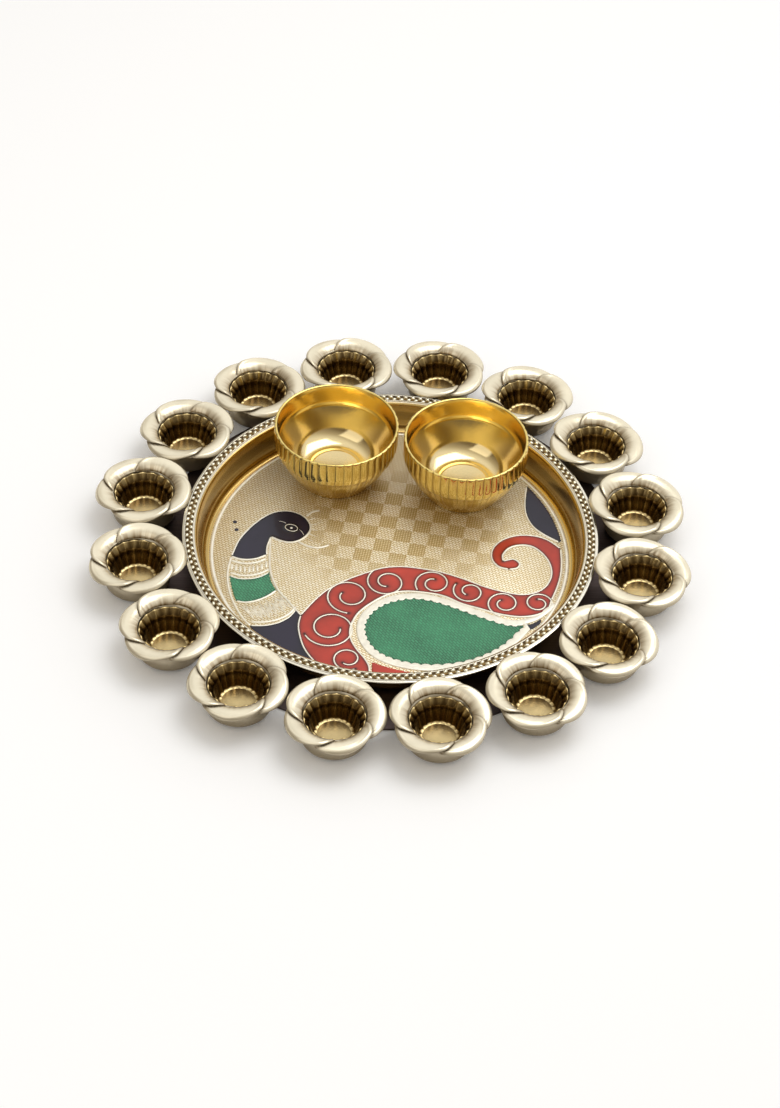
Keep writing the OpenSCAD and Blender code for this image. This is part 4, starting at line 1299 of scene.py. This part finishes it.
class THALI_OT_stage(bpy.types.Operator):
    """Sets the floor, the lights and the camera"""

    bl_idname = "thali.stage"
    bl_label = "Stage"

    def execute(self, context):
        scene = context.scene
        floor_mesh = bpy.data.meshes.new("studio_floor")
        w = 3.0
        floor_mesh.from_pydata([(-w, -w, 0), (w, -w, 0), (w, w, 0), (-w, w, 0)], [],
                               [(0, 1, 2, 3)])
        floor = bpy.data.objects.new("studio_floor", floor_mesh)
        scene.collection.objects.link(floor)
        material, tree, shader = new_material("studio_white", (0.96, 0.96, 0.96), 0.0, 0.9)
        # the camera sees a little more white, so the open floor is white and the
        # shadow stays
        shader.inputs["Emission Color"].default_value = (1, 1, 1, 1)
        seen = add_node(tree, "ShaderNodeLightPath").outputs["Is Camera Ray"]
        tree.links.new(math_of(tree, "MULTIPLY", seen, 0.09),
                       shader.inputs["Emission Strength"])
        floor_mesh.materials.append(material)

        # the room: bright over the thali and towards its right and back, dim elsewhere
        world = bpy.data.worlds.new("studio_world")
        scene.world = world
        world.use_nodes = True
        tree = world.node_tree
        back = tree.nodes["Background"]
        way = add_node(tree, "ShaderNodeTexCoord").outputs["Generated"]
        toward = add_node(tree, "ShaderNodeVectorMath", {0: way, 1: (0.42, 0.40, 0.81)},
                          operation="DOT_PRODUCT")
        light = ramp_of(tree, toward.outputs["Value"],
                        [(0.05, (0.20, 0.16, 0.11)), (0.45, (0.52, 0.48, 0.41)),
                         (0.75, (1.0, 1.0, 1.0))])
        tree.links.new(light, back.inputs["Color"])
        back.inputs["Strength"].default_value = 0.95

        for name, place, size, power in (("key_light", (0.35, 0.25, 1.0), 0.7, 3.6),
                                         ("fill_light", (-0.6, -0.5, 0.8), 0.8, 1.6)):
            light = bpy.data.lights.new(name, "AREA")
            light.energy, light.size = power, size
            lamp = bpy.data.objects.new(name, light)
            lamp.location = place
            lamp.rotation_euler = (-Vector(place)).to_track_quat("-Z", "Y").to_euler()
            scene.collection.objects.link(lamp)
        self.camera(scene)
        scene.view_settings.view_transform = "Standard"
        return {"FINISHED"}

    def camera(self, scene):
        """A camera fitted to the photograph: focal length in its pixels, distance in
        metres, then elevation, turn and roll in degrees about a point over the tray."""
        focal, high, distance = 2835.14, 1108, 1.16212
        elevation, turn, roll = (math.radians(v) for v in (44.238, -1.17, 2.554))
        back = Vector((math.sin(turn) * math.cos(elevation),
                       -math.cos(turn) * math.cos(elevation), math.sin(elevation)))
        right = Vector((math.cos(turn), math.sin(turn), 0))
        up = back.cross(right)
        right, up = (math.cos(roll) * right + math.sin(roll) * up,
                     math.cos(roll) * up - math.sin(roll) * right)
        aim = Vector((-0.00006, -0.0147, 0.01535))
        data = bpy.data.cameras.new("photo_camera")
        data.sensor_fit, data.sensor_height = "VERTICAL", 36
        data.lens = focal * data.sensor_height / high
        data.clip_start, data.clip_end = 0.01, 20
        camera = bpy.data.objects.new("photo_camera", data)
        matrix = camera.matrix_world.copy()
        for row in range(3):
            matrix[row] = (right[row], up[row], back[row], aim[row] + back[row] * distance)
        camera.matrix_world = matrix
        scene.collection.objects.link(camera)
        scene.camera = camera


class THALI_PT_panel(bpy.types.Panel):
    """Lists the thali's pieces, sizes and colours"""

    bl_label = "Puja thali"
    bl_idname = "THALI_PT_panel"
    bl_space_type = "VIEW_3D"
    bl_region_type = "UI"
    bl_category = "Thali"

    def draw(self, context):
        layout = self.layout
        for step in STEPS:
            layout.operator(step.bl_idname)
        for key in PROPERTY_GROUPS:
            group = getattr(context.scene, key)
            box = layout.box()
            for name in group.__annotations__:
                box.prop(group, name)


STEPS = (THALI_OT_stage, THALI_OT_base, THALI_OT_tray, THALI_OT_braid, THALI_OT_design,
         THALI_OT_leaf_border, THALI_OT_enamel, THALI_OT_cups, THALI_OT_liners, THALI_OT_bowls)
PROPERTY_GROUPS = {"thali_sizes": ThaliSizes, "cup_sizes": CupSizes,
                   "bowl_sizes": BowlSizes, "thali_colours": ThaliColours}
CLASSES = tuple(PROPERTY_GROUPS.values()) + STEPS + (THALI_PT_panel,)


def register():
    for cls in CLASSES:
        bpy.utils.register_class(cls)
    for key, group in PROPERTY_GROUPS.items():
        setattr(bpy.types.Scene, key, PointerProperty(type=group))


def unregister():
    for key in PROPERTY_GROUPS:
        delattr(bpy.types.Scene, key)
    for cls in reversed(CLASSES):
        bpy.utils.unregister_class(cls)


def main():
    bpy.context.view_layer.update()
    register()
    for step in STEPS:
        group, name = step.bl_idname.split(".")
        getattr(getattr(bpy.ops, group), name)()


if __name__ == "__main__":
    main()
